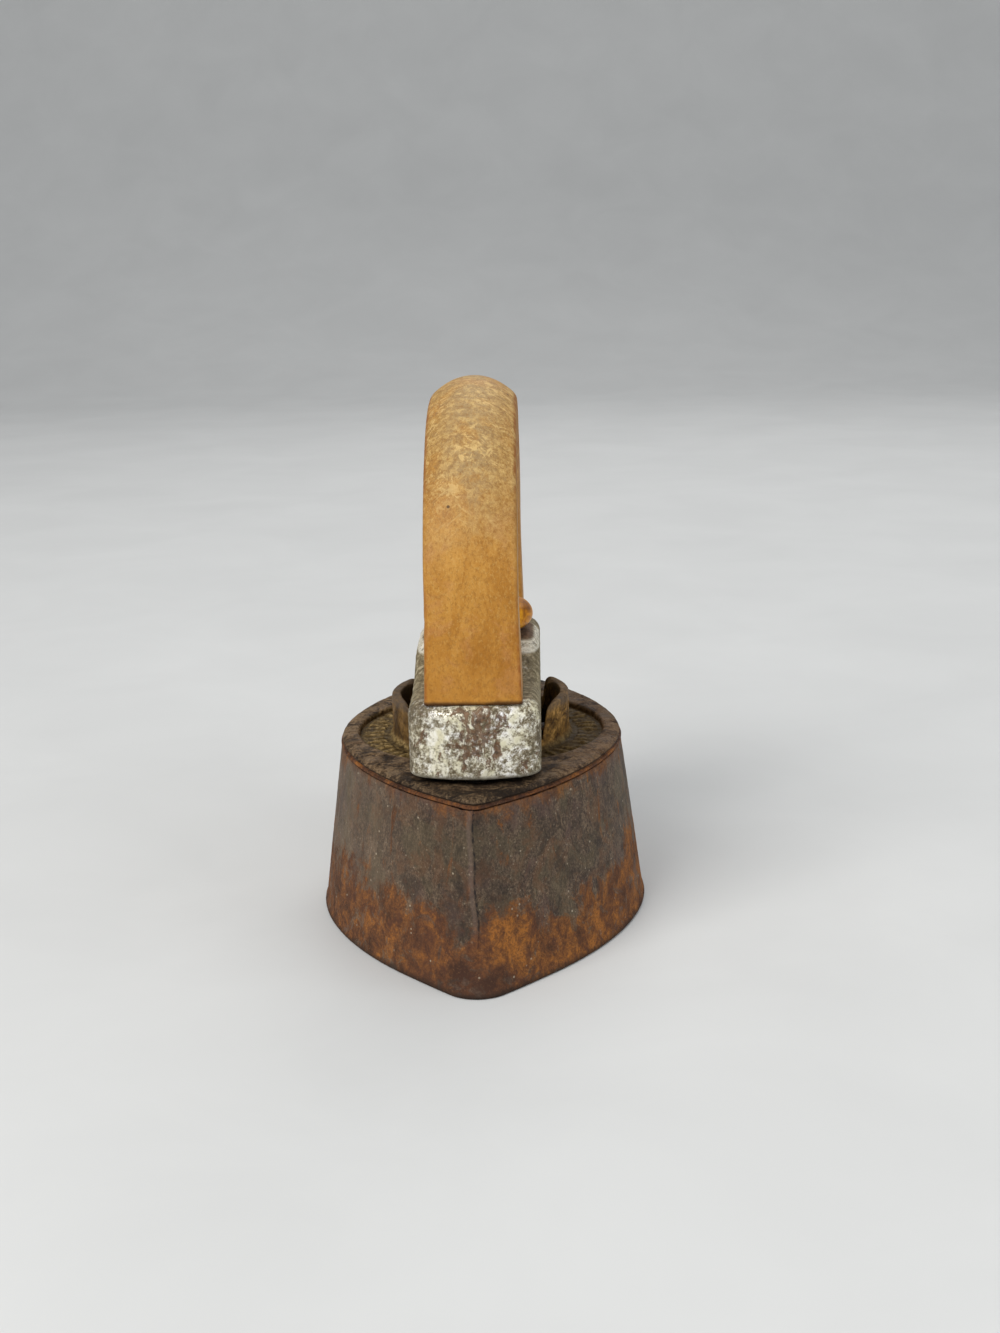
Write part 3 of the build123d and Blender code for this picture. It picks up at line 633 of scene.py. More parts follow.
def leg_piece(name, side, top_z):
    """One leg of the catch spring, from the end of its flat part down to its hooked foot."""
    middle_z = top_z - STRIP_THICKNESS / 2
    bends = np.vstack([[(STRIP_HALF_LENGTH, middle_z), (LEG_BENDS[0, 0], middle_z)], LEG_BENDS])
    line = [bends[:1]]
    for before, bend, after in zip(bends, bends[1:], bends[2:]):
        into, away = before - bend, after - bend
        line.append(corner(bend + STRIP_BEND * into / np.hypot(*into), bend,
                           bend + STRIP_BEND * away / np.hypot(*away)))
    line = np.vstack([*line, bends[-1:]])
    ahead = np.gradient(line, axis=0)
    across = np.column_stack([-ahead[:, 1], ahead[:, 0]]) / np.hypot(*ahead.T)[:, None]
    half = STRIP_THICKNESS / 2
    edge = side * STRIP_HALF_WIDTH
    rings = [[(x, side * (y + part * half * a), z + part * half * b)
              for x, part in ((-edge, 1), (edge, 1), (edge, -1), (-edge, -1))]
             for (y, z), (a, b) in zip(line, across)]
    piece = ring_mesh(name, rings)
    piece.data.shade_flat()
    return piece


# ---- materials

class Level:
    """An output of a material's nodes; each sum, product or call on it adds a node."""

    def __init__(self, paint, socket):
        self.paint, self.socket = paint, socket

    def math(self, operation, other=0.0):
        return self.paint.node("ShaderNodeMath", {0: self, 1: other}, operation=operation)

    def __add__(self, other):
        return self.math("ADD", other)

    def __sub__(self, other):
        return self.math("SUBTRACT", other)

    def __rsub__(self, other):
        return self.paint.node("ShaderNodeMath", {0: other, 1: self}, operation="SUBTRACT")

    def __mul__(self, other):
        return self.math("MULTIPLY", other)

    def __abs__(self):
        return self.math("ABSOLUTE")

    def most(self, other):
        return self.math("MAXIMUM", other)

    def fade(self, low, high, to_low=0.0, to_high=1.0):
        """Ease from to_low at low to to_high at high."""
        ease = dict(enumerate((self, low, high, to_low, to_high)))
        return self.paint.node("ShaderNodeMapRange", ease, interpolation_type="SMOOTHSTEP", clamp=True)

    def fade_mm(self, low, high, to_low=0.0, to_high=1.0, base=0.0):
        """The same between two lengths, in millimetres past base."""
        return self.fade(base + low * MM, base + high * MM, to_low, to_high)

    def mix(self, share, other):
        """This colour with a share of another over it."""
        return self.paint.node("ShaderNodeMix", {0: share, 6: self, 7: other}, 2, data_type="RGBA")

    def layers(self, *coats):
        """This colour under coats of (share, colour), the last one on top."""
        colour = self
        for share, other in coats:
            colour = colour.mix(share, other)
        return colour

    def ramp(self, *stops):
        """Colour by value; each stop is (place, colour)."""
        node = self.paint.tree.nodes.new("ShaderNodeValToRGB")
        self.paint.feed(node.inputs[0], self)
        band = node.color_ramp.elements
        while len(band) < len(stops):
            band.new(0.5)
        for element, (place, colour) in zip(band, stops):
            element.position = place
            element.color = rgba(colour)
        return Level(self.paint, node.outputs["Color"])


def rgba(colour):
    """An opaque colour from red, green and blue in thousandths."""
    return (*(part / 1000 for part in colour), 1)


class Paint:
    """One node material. Sizes are millimetres, and colours are thousandths of linear light."""

    def __init__(self, name):
        self.material = bpy.data.materials.new(name)
        self.material.use_nodes = True
        self.tree = self.material.node_tree
        self.place = self.node("ShaderNodeTexCoord", {}, "Object")
        axes = self.node("ShaderNodeSeparateXYZ", {0: self.place}).socket.node
        self.axes = [Level(self, axis) for axis in axes.outputs]

    def feed(self, socket, value):
        """Feed a socket from a level, or set it to a number, a vector or a colour."""
        if isinstance(value, Level):
            self.tree.links.new(value.socket, socket)
        else:
            socket.default_value = rgba(value) if socket.type == "RGBA" else value

    def node(self, kind, inputs, output=0, **settings):
        """Add a node, feed its inputs by name or number, and return one of its outputs."""
        node = self.tree.nodes.new(kind)
        for key, value in settings.items():
            setattr(node, key, value)
        for key, value in inputs.items():
            self.feed(node.inputs[key], value)
        return Level(self, node.outputs[output])

    def noise(self, size, detail=4.0, rough=0.55, warp=0.0, x=1, y=1, z=1, turn=0):
        """Cloudy noise, about 0.5 on average, turned by some degrees round Y.

        An x, y or z below 1 draws it out along that axis."""
        place = self.node("ShaderNodeMapping", {
            "Vector": self.place, "Rotation": (0, radians(turn), 0),
            "Scale": (1 / x, 1 / y, 1 / z)}, vector_type="TEXTURE")
        return self.node("ShaderNodeTexNoise", {
            "Vector": place, "Scale": 1 / (size * MM), "Detail": detail, "Roughness": rough,
            "Distortion": warp}, "Fac")

    def cells(self, size):
        """Distance to the nearest of scattered points, size apart."""
        return self.node("ShaderNodeTexVoronoi", {
            "Vector": self.place, "Scale": 1 / (size * MM), "Randomness": 1.0}, "Distance")

    def finish(self, colour, rough, height, bump, distance, metal=0.0, **levels):
        """Feed the shader: colour, roughness and metal, a bump height, and plain levels by name."""
        normal = self.node("ShaderNodeBump", {"Strength": bump, "Distance": distance * MM, "Height": height})
        sockets = self.tree.nodes["Principled BSDF"].inputs
        fed = {"Base Color": colour, "Roughness": rough, "Metallic": metal, "Normal": normal}
        for name, value in fed.items():
            self.feed(sockets[name], value)
        for name, value in levels.items():
            sockets[name.replace("_", " ")].default_value = value
        return self.material


IRON_DARK = (25, 17, 11)
IRON_MID = (80, 52, 33)
IRON_LIGHT = (195, 134, 85)
IRON_PURPLE = (86, 48, 39)
IRON_OLIVE = (92, 72, 38)
IRON_HAZE = (125, 56, 24)
SOOT_AND_SHADE = (24, 16, 11)
RUST_DEEP = (48, 20, 11)
RUST_MID = (150, 56, 20)
RUST_BRIGHT = (380, 138, 24)
SPECK = (420, 350, 250)


def rust_tone(paint, blotch):
    """Rust from deep brown to orange as blotch rises from 0.38 to 0.64, with fine dark grains and pale
    painted glints.
    """
    colour = blotch.ramp((0.38, RUST_DEEP), (0.5, RUST_MID), (0.64, RUST_BRIGHT))
    grain = paint.noise(0.8, 5, 0.78).fade(0.44, 0.6)
    colour = colour.mix(grain * 0.55, RUST_DEEP)
    # pale specks painted as glints of light
    glint = paint.noise(0.6, 4, 0.75).fade(0.55, 0.68)
    return colour.mix(glint * 0.3, (420, 220, 90))


def iron_skin(paint):
    """Bare iron patina: a fine grain, vertical streaks, and clouds of purple, olive and soot."""
    grain = paint.noise(0.65, 6, 0.82, z=0.8)
    patch = paint.noise(4.5, 5, 0.7, 0.4, z=0.7)
    tone = grain * 0.68 + patch * 0.32
    ground = tone.ramp((0.41, IRON_DARK), (0.5, IRON_MID), (0.59, IRON_LIGHT))
    cloud = paint.noise(16, 4, 0.62, 0.6)
    haze = paint.noise(10, 6, 0.72, 0.7).fade(0.5, 0.62, 0, 0.5)
    streak = paint.noise(1.5, 5, 0.68, 0.2, z=0.09).fade(0.52, 0.66)
    run = paint.noise(2.6, 5, 0.68, 0.3, z=0.12).fade(0.53, 0.66)
    soot = paint.noise(8, 5, 0.68, 0.6).fade(0.5, 0.64)
    dust = paint.cells(1.5).fade(0.2, 0.09) * patch.fade(0.46, 0.6, 0.15, 0.9)
    ground = ground.layers(
        (cloud.fade(0.5, 0.62, 0, 0.6), IRON_PURPLE), (cloud.fade(0.48, 0.38, 0, 0.45), IRON_OLIVE),
        (haze, IRON_HAZE), (streak * 0.15, (190, 130, 80)), (run * 0.26, (42, 26, 18)), (soot * 0.55, SOOT_AND_SHADE))
    return ground.mix(dust * 0.55, SPECK)


def near(paint, centre, radius, softness):
    """One inside a ball round centre, falling to zero over softness; its edge is ragged."""
    distance = paint.node("ShaderNodeVectorMath", {0: paint.place, 1: centre}, "Value", operation="DISTANCE")
    distance += paint.noise(5, 6, 0.7, 0.6) * (2 * radius)
    return distance.fade(radius * 2 + softness, radius * 2 - softness)


def body_material():
    """Cast iron body: rust creeps up from the sole and down from the seam, more at the widest sides; painted
    light on the left, painted shade down the middle and along the foot, and a painted shadow and highlight
    at each casting line.
    """
    paint = Paint("cast_body")
    x, y, z = paint.axes
    ground = iron_skin(paint)
    end_y = 0.5 * (SOLE_HALF_LENGTH + SEAM_HALF_LENGTH)
    ember = near(paint, (9 * MM, -end_y, 14 * MM), 9 * MM, 6 * MM)
    flame = near(paint, (-25 * MM, -0.75 * end_y, 21 * MM), 6 * MM, 5 * MM)
    ragged = paint.noise(12, 6, 0.68, 0.7, z=0.75)
    fringe = paint.noise(1.7, 5, 0.68, z=0.8)
    edge = ragged * (54 * MM) + fringe * (12 * MM)
    sides = abs(x).fade_mm(32, 49, 0, 9 * MM)
    low = edge - z + sides + ember.most(flame) * (9 * MM)
    low_rust = low.fade_mm(11, 20) * paint.noise(7, 6, 0.68, 0.8).fade(0.53, 0.62, 1, 0.25)
    heel_soot = near(paint, (2 * MM, -SOLE_HALF_LENGTH, 0), 10 * MM, 7 * MM)
    seam_reach = paint.noise(9, 6, 0.74, 0.6, z=0.5).fade(0.4, 0.68, 0.2 * MM, 6 * MM)
    seam_rust = (SEAM_Z - z - seam_reach).fade_mm(2.2, -2.0, 0, 0.62)
    drip = paint.noise(7, 6, 0.72, 0.6, z=0.32).fade(0.58, 0.67)
    high = z.fade_mm(18, 42, 0.45, 0.85)
    rust = low_rust.most(seam_rust).most(drip * high)
    glow = ember * 0.055 + x.fade_mm(-20, 25, 0.004, 0.03)
    glow = glow + x.fade_mm(14, 34, 0, 0.026) - heel_soot * 0.14
    blotch = paint.noise(4.5, 6, 0.74, 0.6, z=0.75) * 0.7 + paint.noise(13, 3, 0.6, 0.6) * 0.3
    # painted light on the left side of the body, and painted shade down its middle
    ground = ground.layers(
        (x.fade_mm(-12, -30, 0, 0.2), (210, 150, 100)), (abs(x).fade_mm(18, 5, 0, 0.26), SOOT_AND_SHADE))
    plum = paint.noise(8, 6, 0.72, 0.7).fade(0.51, 0.61, 0, 0.55) * low_rust
    scald = near(paint, (-15 * MM, -0.9 * end_y, 8 * MM), 8 * MM, 7 * MM)
    plum = plum.most(heel_soot.most(scald) * 0.4)
    crumb = paint.cells(2.8).fade(0.15, 0.07, 0, 0.8) * paint.noise(7, 3, 0.6).fade(0.5, 0.62)
    waves = [(z * (1 / length)).math("SINE") * swing
             for swing, length in zip(FLASH_SWING, FLASH_WANDER)]
    off_line = x - (waves[0] + waves[1])
    at_nose = abs(y).fade(0.68 * SOLE_HALF_LENGTH, 0.8 * SOLE_HALF_LENGTH)
    span = z.fade_mm(14, 22) * at_nose
    broken = paint.noise(1.5, 4, 0.7).fade(0.44, 0.54, 0.2, 1)
    # painted shadow on one side of each casting line, and a painted highlight on its other side
    line = abs(off_line - 0.22 * MM).fade_mm(0.42, 0.14, 0, 0.9)
    painted_flash_highlight = abs(off_line + 0.8 * MM).fade_mm(1.0, 0.2, 0, 0.35)
    # painted shadow along the foot of the body, with a ragged top edge
    painted_foot_shadow = (z + fringe * (-2 * MM)).fade_mm(-0.4, 1.4, 0.75, 0)
    ground_face = z.fade_mm(0.25, 0.05)
    steel = paint.noise(3, 5, 0.6, 0.4, y=0.2).ramp((0.35, (95, 85, 75)), (0.65, (260, 245, 225)))
    height = paint.noise(0.6, 5, 0.78) + paint.noise(2.4, 4, 0.6) * 1.2
    rough = rust.fade(0, 1, 0.58, 0.88)
    colour = ground.layers(
        (rust * 0.9, rust_tone(paint, blotch + glow)), (plum, (70, 30, 20)), (crumb, SPECK),
        (line * span * broken, (12, 9, 9)), (painted_flash_highlight * span, (160, 110, 90)), (painted_foot_shadow, (24, 15, 10)),
        (ground_face * 0.8, steel))
    return paint.finish(colour, rough, height, 0.55, 0.3, ground_face * 0.6, Specular_IOR_Level=0.22)


def cap_material():
    """Cast cap: brown-black rim with painted shadow under the bracket's ends, olive-brown recess with dark
    hollows and a painted handle shadow on its right, rusty collar, and painted black shade in the well.
    """
    paint = Paint("cast_cap")
    x, y, z = paint.axes
    grain = paint.noise(0.8, 6, 0.78)
    blotch = paint.noise(6, 6, 0.7, 0.6)
    tone = grain * 0.4 + blotch * 0.6
    rim = tone.ramp((0.43, (18, 10, 5)), (0.5, (98, 60, 31)), (0.58, (300, 200, 108)))
    warm_side = x.fade_mm(6, 36, 0, 0.45) * blotch.fade(0.44, 0.58, 0.3, 1)
    tan = paint.noise(9, 5, 0.68, 0.6)
    radius = (x * x + y * y).math("SQRT")
    # painted shadow on the rim under each end of the bracket
    end_shade = abs(y).fade_mm(-28, -17, 0, 0.9, base=CAP_HALF_LENGTH)
    end_shade *= tone.fade(0.46, 0.58, 1, 0.45)
    ragged = paint.noise(5, 5, 0.62, 0.4)
    warm = paint.noise(1.5, 5, 0.72, 0.3).ramp((0.38, (46, 27, 8)), (0.5, (165, 106, 36)),
                                               (0.62, (400, 280, 115)))
    rim = rim.layers(
        (warm_side, (110, 50, 24)), (blotch.fade(0.53, 0.64, 0, 0.6), (28, 20, 15)),
        (tan.fade(0.53, 0.64, 0, 0.5), (210, 130, 70)), (end_shade, (14, 9, 6)))
    in_recess = radius.fade_mm(0.9, -0.4, base=RECESS_R)
    # painted shadow of the handle, darkening the recess towards its right side
    warm = warm.mix(x.fade_mm(-8, 20, 0, 0.6), (58, 30, 4))
    low_z = z + ragged * (0.5 * MM)
    trough = low_z.fade_mm(0.05, 0.65, 0.6, 0, base=RECESS_Z)
    on_collar = radius.fade(COLLAR_FOOT_R + 0.8 * MM, COLLAR_R + 0.2 * MM)
    on_collar *= z.fade_mm(0.4, 2.0, base=RECESS_Z)
    collar_rust = paint.noise(6, 6, 0.7, 0.6).ramp((0.38, (56, 26, 8)), (0.5, (285, 148, 36)),
                                                   (0.62, (560, 310, 90)))
    colour = rim.layers(
        (in_recess * 0.9, warm), (trough * in_recess, (28, 16, 4)))
    collar_rust = collar_rust.layers(
        (grain.fade(0.45, 0.56) * 0.55, (40, 21, 8)), (x.fade_mm(4, -14, 0, 0.55), (50, 29, 14)))
    lip = z.fade_mm(-3.4, -1.2, base=COLLAR_TOP_Z) * on_collar
    # painted near-black shade inside the collar's well, lighter only near its top edge
    inside = radius.fade_mm(0.5, -0.1, base=COLLAR_INNER_R)
    inside *= z.fade_mm(-0.3, -2.0, 0.2, 1, base=COLLAR_TOP_Z)
    outside = radius.fade_mm(1.0, 2.0, base=RECESS_R)
    lip_rust = paint.noise(7, 6, 0.76, 0.6) - 0.04
    lip_line = z.fade(SEAM_Z + CAP_LIP + 0.3 * MM, SEAM_Z + 0.7 * CAP_LIP, 0, 0.92)
    groove = abs(z - (SEAM_Z + 1.25 * CAP_LIP)).fade_mm(0.45, 0.12, 0, 0.85)
    height = paint.noise(0.7, 5, 0.78) + paint.noise(2.0, 4, 0.6) * 1.2
    colour = colour.layers(
        (on_collar * 0.9, collar_rust), (lip * 0.6, (110, 82, 60)),
        (inside, ragged.ramp((0.35, (7, 4, 3)), (0.7, (40, 20, 12)))),
        (lip_line * outside, rust_tone(paint, lip_rust)), (groove * outside, (16, 9, 5)))
    return paint.finish(colour, ragged.fade(0.3, 0.7, 0.48, 0.8), height, 0.6, 0.3, Specular_IOR_Level=0.12)


def nickel_material():
    """Worn nickel plate: bright skin, dense dark pitting, brown rust in the middle of each end; a painted
    highlight on the hump, and painted highlight bands and painted shade at the corners made by thinning and
    thickening the pits.
    """
    paint = Paint("nickel_plate")
    x, y, z = paint.axes
    size = bracket_high - bracket_low
    tarnish = paint.noise(6, 4, 0.6, 0.4)
    plate = tarnish.ramp((0.38, (720, 670, 480)), (0.52, (900, 865, 760)), (0.64, (990, 970, 990)))
    fine = paint.noise(1.9, 9, 0.9, 0.1)
    pitted = fine + paint.noise(6, 4, 0.6) * 0.3
    aside = abs(x)
    from_end = bracket_high.y - abs(y)
    on_end = from_end.fade_mm(12, 8)
    # painted reflection: fewer pits near 9.5 mm from the middle give painted highlight bands, more pits
    # towards the sides give painted shade at the corners
    painted_highlight_band = abs(aside - 9.5 * MM).fade_mm(4, 1, 0, 0.03)
    corner = aside.fade_mm(12.5, 16.5, 0, 0.035)
    pit_line_with_painted_bands = on_end.fade(0, 1, 0.61, 0.645) + (painted_highlight_band - corner)
    bare = pitted - pit_line_with_painted_bands
    pits = bare.fade(-0.01, 0.03)
    olive = paint.noise(1.5, 3, 0.6).ramp((0.35, (120, 88, 42)), (0.65, (290, 230, 130)))
    mid_x = abs(x - 1.5 * MM).fade_mm(11, 3)
    mid_z = abs(z - (bracket_low.z + 0.46 * size.z)).fade_mm(14, 4)
    core = mid_x * mid_z * 0.115
    patch = (paint.noise(4.4, 8, 0.78, 0.5, x=1.2, z=0.85) + core).fade(0.585, 0.61)
    brown = paint.noise(1.4, 4, 0.68).ramp((0.36, (46, 22, 11)), (0.64, (185, 96, 48)))
    level = from_end.fade_mm(7, 11)
    dull = level * paint.noise(10, 4, 0.6, 0.3).fade(0.32, 0.52, 0.7, 0.95)
    drawn = paint.noise(1.8, 7, 0.78, 0.2, z=0.6)
    grey = drawn.ramp((0.38, (66, 46, 18)), (0.5, (185, 145, 74)), (0.62, (430, 365, 235)))
    crest = z.fade_mm(-0.9, -0.2, 0, 0.9, base=bracket_high.z)
    # painted highlight along the hump's upper slope
    slope_z = bracket_high.z - 1.9 * MM
    slope = abs(z - slope_z).fade_mm(1.5, 0.8) * level
    painted_hump_highlight = slope * fine.fade(0.58, 0.46, 0.1, 0.85)
    rim = z.fade_mm(1.6, 0.5, 0, 0.7, base=bracket_low.z)
    worn = pits.most(patch.most(dull.most(crest)))
    metal = worn.fade(0, 1, 0.4, 0.08)
    rough = worn.fade(0, 1, 0.46, 0.72)
    colour = plate.layers(
        (bare.fade(-0.045, 0.005, 0, 0.65), (400, 345, 215)), (pits * 0.9, olive),
        (bare.fade(0.035, 0.08, 0, 0.7), (40, 26, 12)), (patch * 0.92, brown), (dull, grey), (crest, brown),
        (painted_hump_highlight, (800, 760, 640)), (rim, (210, 190, 145)))
    return paint.finish(colour, rough, worn * -1.0, 0.6, 0.2, metal, Specular_IOR_Level=0.35)


def grip_material():
    """Honey hardwood: fine grain, greyed and scratched towards the top, red-brown edges."""
    paint = Paint("grip_wood")
    x, y, z = paint.axes
    figure = paint.noise(8, 6, 0.66, 0.9, z=0.45)
    honey = figure.ramp((0.32, (330, 130, 16)), (0.5, (430, 190, 30)), (0.68, (530, 262, 52)))
    blush = paint.noise(10, 5, 0.66, 0.6).fade(0.5, 0.64, 0, 0.45)
    height_up = z.fade(grip_low.z + 26 * MM, grip_high.z - 12 * MM)
    cloud = paint.noise(12, 6, 0.66, 0.6)
    grey = height_up * cloud.fade(0.34, 0.56, 0.4, 1.0)
    grey_wood = paint.noise(0.9, 6, 0.78, 0.4).ramp((0.36, (210, 118, 36)), (0.5, (368, 222, 71)),
                                                    (0.64, (600, 410, 165)))
    honey = honey.mix(blush, (450, 205, 70))
    high = z.fade_mm(-46, -16, base=grip_high.z)
    middle = abs(x).fade_mm(11, 2)
    rub = cloud.fade(0.4, 0.56, 0.25, 0.75) * high * middle
    mottle = paint.noise(2.6, 6, 0.74, 0.6)
    fleck = paint.noise(0.9, 6, 0.82, 0.3, z=0.7).fade(0.49, 0.6)
    pale = paint.noise(0.7, 6, 0.84, 0.2, z=0.6).fade(0.51, 0.62)
    pale = pale * z.fade(grip_low.z, grip_low.z + 30 * MM, 0.14, 0.36)
    marks = None
    for angle, size in ((38, 2.2), (-46, 2.6), (64, 1.8)):
        mark = paint.noise(size, 5, 0.66, 0.4, x=0.14, turn=angle).fade(0.565, 0.625)
        marks = mark if marks is None else marks.most(mark)
    marks = marks * (high * paint.noise(11, 3, 0.5).fade(0.44, 0.56, 0.15, 0.9))
    half_width = z.fade(grip_low.z, grip_high.z - grip_high.y, grip_high.x, GRIP_ARCH_HALF_WIDTH)
    from_side = half_width - abs(x)
    arris = from_side.fade_mm(1.4, 0.5)
    worn_edge = paint.noise(2.6, 4, 0.6).fade(0.42, 0.58, 0.3, 0.85)
    outer = abs(y).fade_mm(-3.0, -1.0, base=grip_high.y)
    outer = outer.most(high)
    side_face = from_side.fade_mm(0.6, 0.2)
    foot = (z + cloud * (-2 * MM)).fade_mm(0.4, -0.8, base=grip_low.z)
    spot = paint.cells(13).fade(0.045, 0.028, 0, 0.85)
    grain = paint.noise(0.6, 5, 0.72, 0.2, z=0.6) + marks * -0.8
    colour = honey.layers(
        (grey * 0.8, grey_wood), (rub, (350, 245, 122)),
        (mottle.fade(0.51, 0.6, 0, 0.5) * high, (235, 140, 58)),
        (mottle.fade(0.48, 0.4, 0, 0.45) * high, (640, 440, 170)), (fleck * 0.5, (240, 100, 18)),
        (pale, (620, 385, 120)), (marks * 0.75, (660, 450, 180)), (arris * outer * worn_edge, (260, 80, 14)),
        (side_face * 0.45, (300, 150, 36)), (foot * 0.85, (50, 20, 8)), (spot, (70, 35, 14)))
    return paint.finish(colour, grey.fade(0, 1, 0.46, 0.62), grain, 0.35, 0.14, Specular_IOR_Level=0.16)


def knob_material():
    """Amber turned wood under old varnish, darker towards its rim's underside."""
    paint = Paint("knob_wood")
    ring = paint.noise(3.4, 6, 0.68, 0.6, y=0.4)
    colour = ring.ramp((0.32, (190, 58, 2)), (0.5, (500, 188, 6)), (0.68, (760, 350, 16)))
    # painted shade towards the underside of the knob's rim
    shade = paint.axes[2].fade_mm(2.6, 0.4, 0, 0.7, base=knob_low.z)
    grain = paint.noise(0.9, 3, 0.6, 0.2, y=0.25)
    colour = colour.mix(shade, (100, 28, 4))
    return paint.finish(colour, ring.fade(0.3, 0.7, 0.28, 0.42), grain, 0.18, 0.08, Specular_IOR_Level=0.1,
            Coat_Weight=0.05, Coat_Roughness=0.18)


def metal_material(name, dark, light, rust_share, metal, rough):
    """Small steel or brass parts: mottled metal with a little rust or tarnish."""
    paint = Paint(name)
    mottle = paint.noise(1.6, 5, 0.65, 0.3)
    colour = mottle.ramp((0.32, dark), (0.68, light))
    bloom = paint.noise(3.2, 5, 0.65, 0.6).fade(0.62 - 0.2 * rust_share, 0.74 - 0.2 * rust_share)
    height = paint.noise(0.5, 3, 0.6)
    roughness = mottle.fade(0.3, 0.7, rough, rough + 0.2)
    colour = colour.mix(bloom * rust_share, rust_tone(paint, paint.noise(4, 5, 0.68, 0.5)))
    return paint.finish(colour, roughness, height, 0.15, 0.08, bloom.fade(0, 1, metal, 0.2))


def plaster_material():
    """Dull off-white plaster with small voids."""
    paint = Paint("plaster")
    tone = paint.noise(6, 5, 0.6).ramp((0.3, (520, 480, 400)), (0.7, (720, 690, 620)))
    hole = paint.cells(2.5).fade(0.16, 0.08)
    return paint.finish(tone.mix(hole, (300, 270, 220)), 0.92, hole * -1.0, 0.4, 0.3)


def coat(piece, material):
    """Give a piece or a CAD node one material in every slot."""
    if not piece.data.materials:
        piece.data.materials.append(material)
    for index in range(len(piece.data.materials)):
        piece.data.materials[index] = material


# ---- assembly

def place(piece, node, body, slot_name, material):
    """Let a modelled piece stand for a CAD node."""
    coat(piece, material)
    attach(piece, body)
    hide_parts(node)


place(body_piece(), "body_casting", "base", "cast_body", body_material())
place(cap_piece(), "top_plate", "base", "cast_cap", cap_material())
place(bracket_piece(), "handle_bracket", "handle", "nickel_plate", nickel_material())
place(grip_piece(), "wood_grip", "handle", "grip_wood", grip_material())
place(knob_piece(), "latch_knob", "latch", "knob_wood", knob_material())

SMALL_METALS = {
    "dark_steel": ((30, 24, 20), (115, 90, 70), 0.8, 0.45, 0.50),
    "bright_steel": ((200, 190, 175), (480, 470, 445), 0.35, 0.90, 0.32),
    "spring_steel": ((60, 65, 85), (220, 220, 250), 0.20, 0.90, 0.28),
    "brass": ((300, 200, 70), (620, 470, 200), 0.10, 0.95, 0.30),
}
finishes = {name: metal_material(name, *values) for name, values in SMALL_METALS.items()}
finishes["plaster"] = plaster_material()
for part in frame["record"]["subparts"]:
    if part["material_slot"] in finishes:
        coat(frame["nodes"][part["node"]], finishes[part["material_slot"]])


spring_low, spring_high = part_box("return_spring")
coil = coil_piece(spring_low, spring_high)
coat(coil, finishes["spring_steel"])
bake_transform(coil)
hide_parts("return_spring")

strip_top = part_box("catch_spring")[1].z
place(strip_piece(strip_top), "catch_spring", "handle", "spring_steel", finishes["spring_steel"])
for name, side in (("catch_leg_front", -1), ("catch_leg_rear", 1)):
    leg = leg_piece(name, side, strip_top)
    place(leg, "catch_spring", "handle", "spring_steel", finishes["spring_steel"])
    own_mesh(leg)


# ---- floor, light and camera

def floor_material():
    """Pale matt paper with a faint mottle."""
    paint = Paint("floor_paper")
    tone = paint.noise(90, 4, 0.55, 0.4).ramp((0.3, (590, 592, 583)), (0.7, (625, 627, 617)))
    return paint.finish(tone, 0.9, paint.noise(5, 4, 0.6), 0.05, 0.2)


def make_floor():
    """A pale floor that sweeps up far behind the object."""
    reach = 2.6
    bend_y, bend_r = 1.5, 0.9
    path = [(-2.2, 0.0), (bend_y, 0.0)]
    path += [(bend_y + bend_r * s, bend_r * (1 - c)) for c, s in arc(16)[1:]]
    path.append((bend_y + bend_r, 2.6))
    verts = [(side * reach, y, z) for y, z in path for side in (-1, 1)]
    faces = [(2 * k, 2 * k + 1, 2 * k + 3, 2 * k + 2) for k in range(len(path) - 1)]
    mesh = bpy.data.meshes.new("studio_floor")
    mesh.from_pydata(verts, [], faces)
    mesh.shade_smooth()
    floor = add_object("studio_floor", mesh)
    coat(floor, floor_material())


LIGHT_TARGET = Vector((0, 0, 0.06))


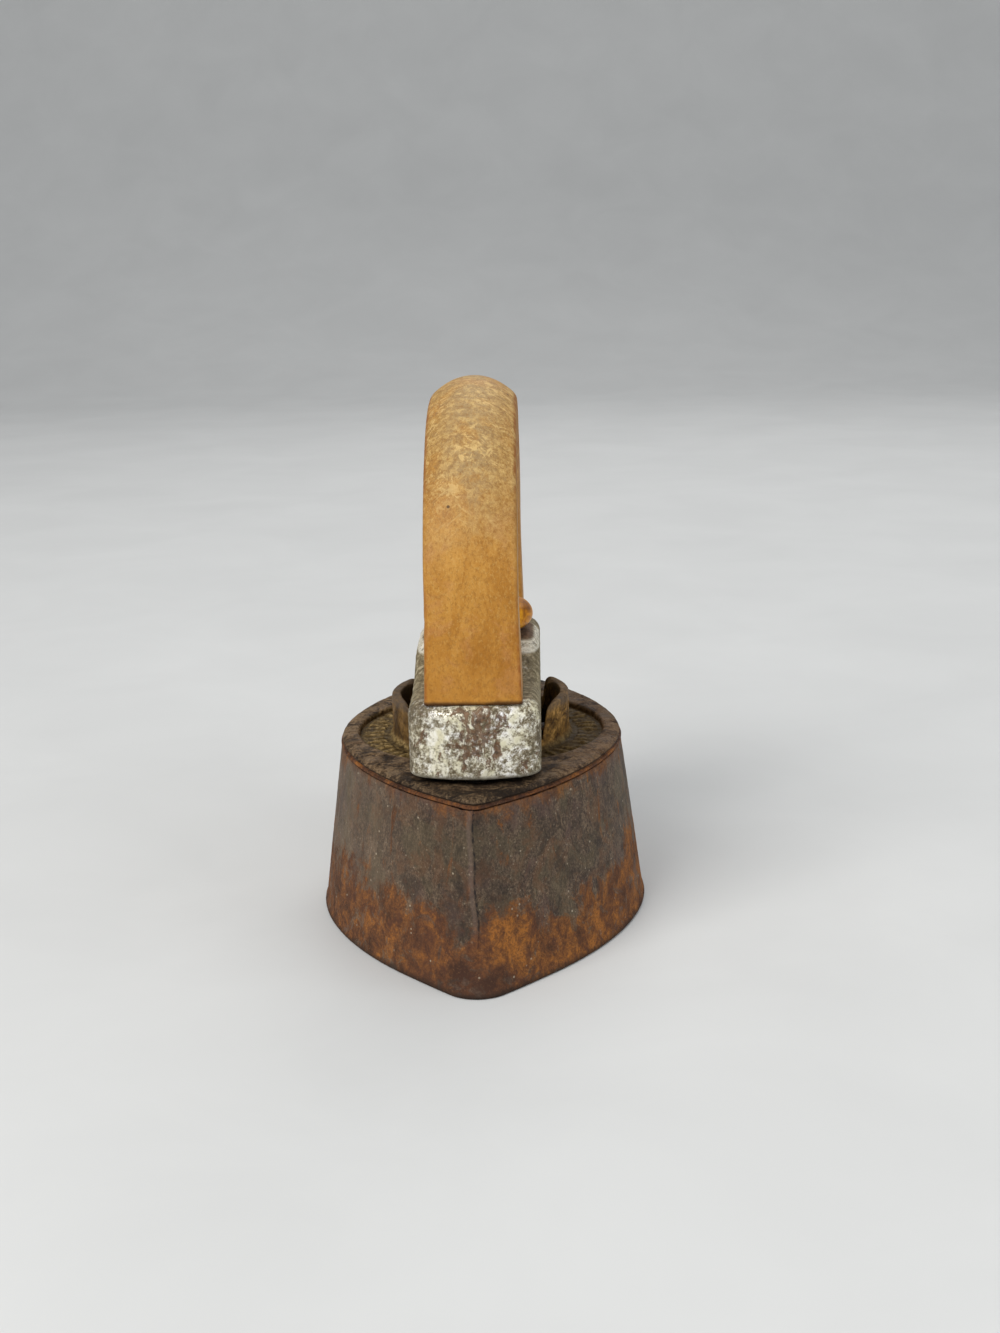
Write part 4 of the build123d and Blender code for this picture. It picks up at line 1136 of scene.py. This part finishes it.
def area_light(name, place_at, size, power, colour):
    """A square soft box at place_at that faces the object."""
    data = bpy.data.lights.new(name, "AREA")
    data.shape = "SQUARE"
    data.size = size
    data.energy = power
    data.color = colour
    lamp = add_object(name, data)
    lamp.location = place_at
    lamp.rotation_euler = (LIGHT_TARGET - Vector(place_at)).to_track_quat("-Z", "Y").to_euler()


def make_light():
    """Soft daylight from the front left and above, with a weak fill and a pale sky."""
    area_light("key", (-0.75, -0.95, 1.15), 0.9, 20, (1.0, 0.985, 0.96))
    area_light("fill", (1.1, -0.6, 0.7), 1.0, 6, (0.95, 0.98, 1.0))
    area_light("back", (0.2, 1.0, 1.2), 1.0, 7, (1.0, 1.0, 1.0))
    world = bpy.data.worlds.new("studio")
    world.use_nodes = True
    sky = world.node_tree.nodes["Background"]
    sky.inputs["Color"].default_value = (0.93, 0.96, 1.0, 1)
    sky.inputs["Strength"].default_value = 0.45
    bpy.context.scene.world = world
    bpy.context.scene.view_settings.view_transform = "Standard"


CAMERA_YAW = radians(-1.45)  # to the right of straight ahead, seen from above
CAMERA_PITCH = radians(14.75)  # below level
CAMERA_ROLL = radians(1.24)
CAMERA_PLACE = (0.01873, -0.49826, 0.20374)
FOCAL_SHARE = 1.2753  # focal length over the picture's long side


def make_camera():
    """The viewing angle: in front of one nose, a little above the handle's knob."""
    level = cos(CAMERA_PITCH)
    ahead = Vector((sin(CAMERA_YAW) * level, cos(CAMERA_YAW) * level, -sin(CAMERA_PITCH)))
    level_right = Vector((cos(CAMERA_YAW), -sin(CAMERA_YAW), 0))
    level_down = ahead.cross(level_right)
    right = cos(CAMERA_ROLL) * level_right + sin(CAMERA_ROLL) * level_down
    down = -sin(CAMERA_ROLL) * level_right + cos(CAMERA_ROLL) * level_down
    data = bpy.data.cameras.new("camera")
    data.sensor_width = 36
    data.lens = 36 * FOCAL_SHARE
    data.clip_start = 0.01
    camera = add_object("camera", data)
    turn = Matrix((right, -down, -ahead)).transposed().to_4x4()
    camera.matrix_world = Matrix.Translation(CAMERA_PLACE) @ turn
    bpy.context.scene.camera = camera


make_floor()
make_light()
make_camera()
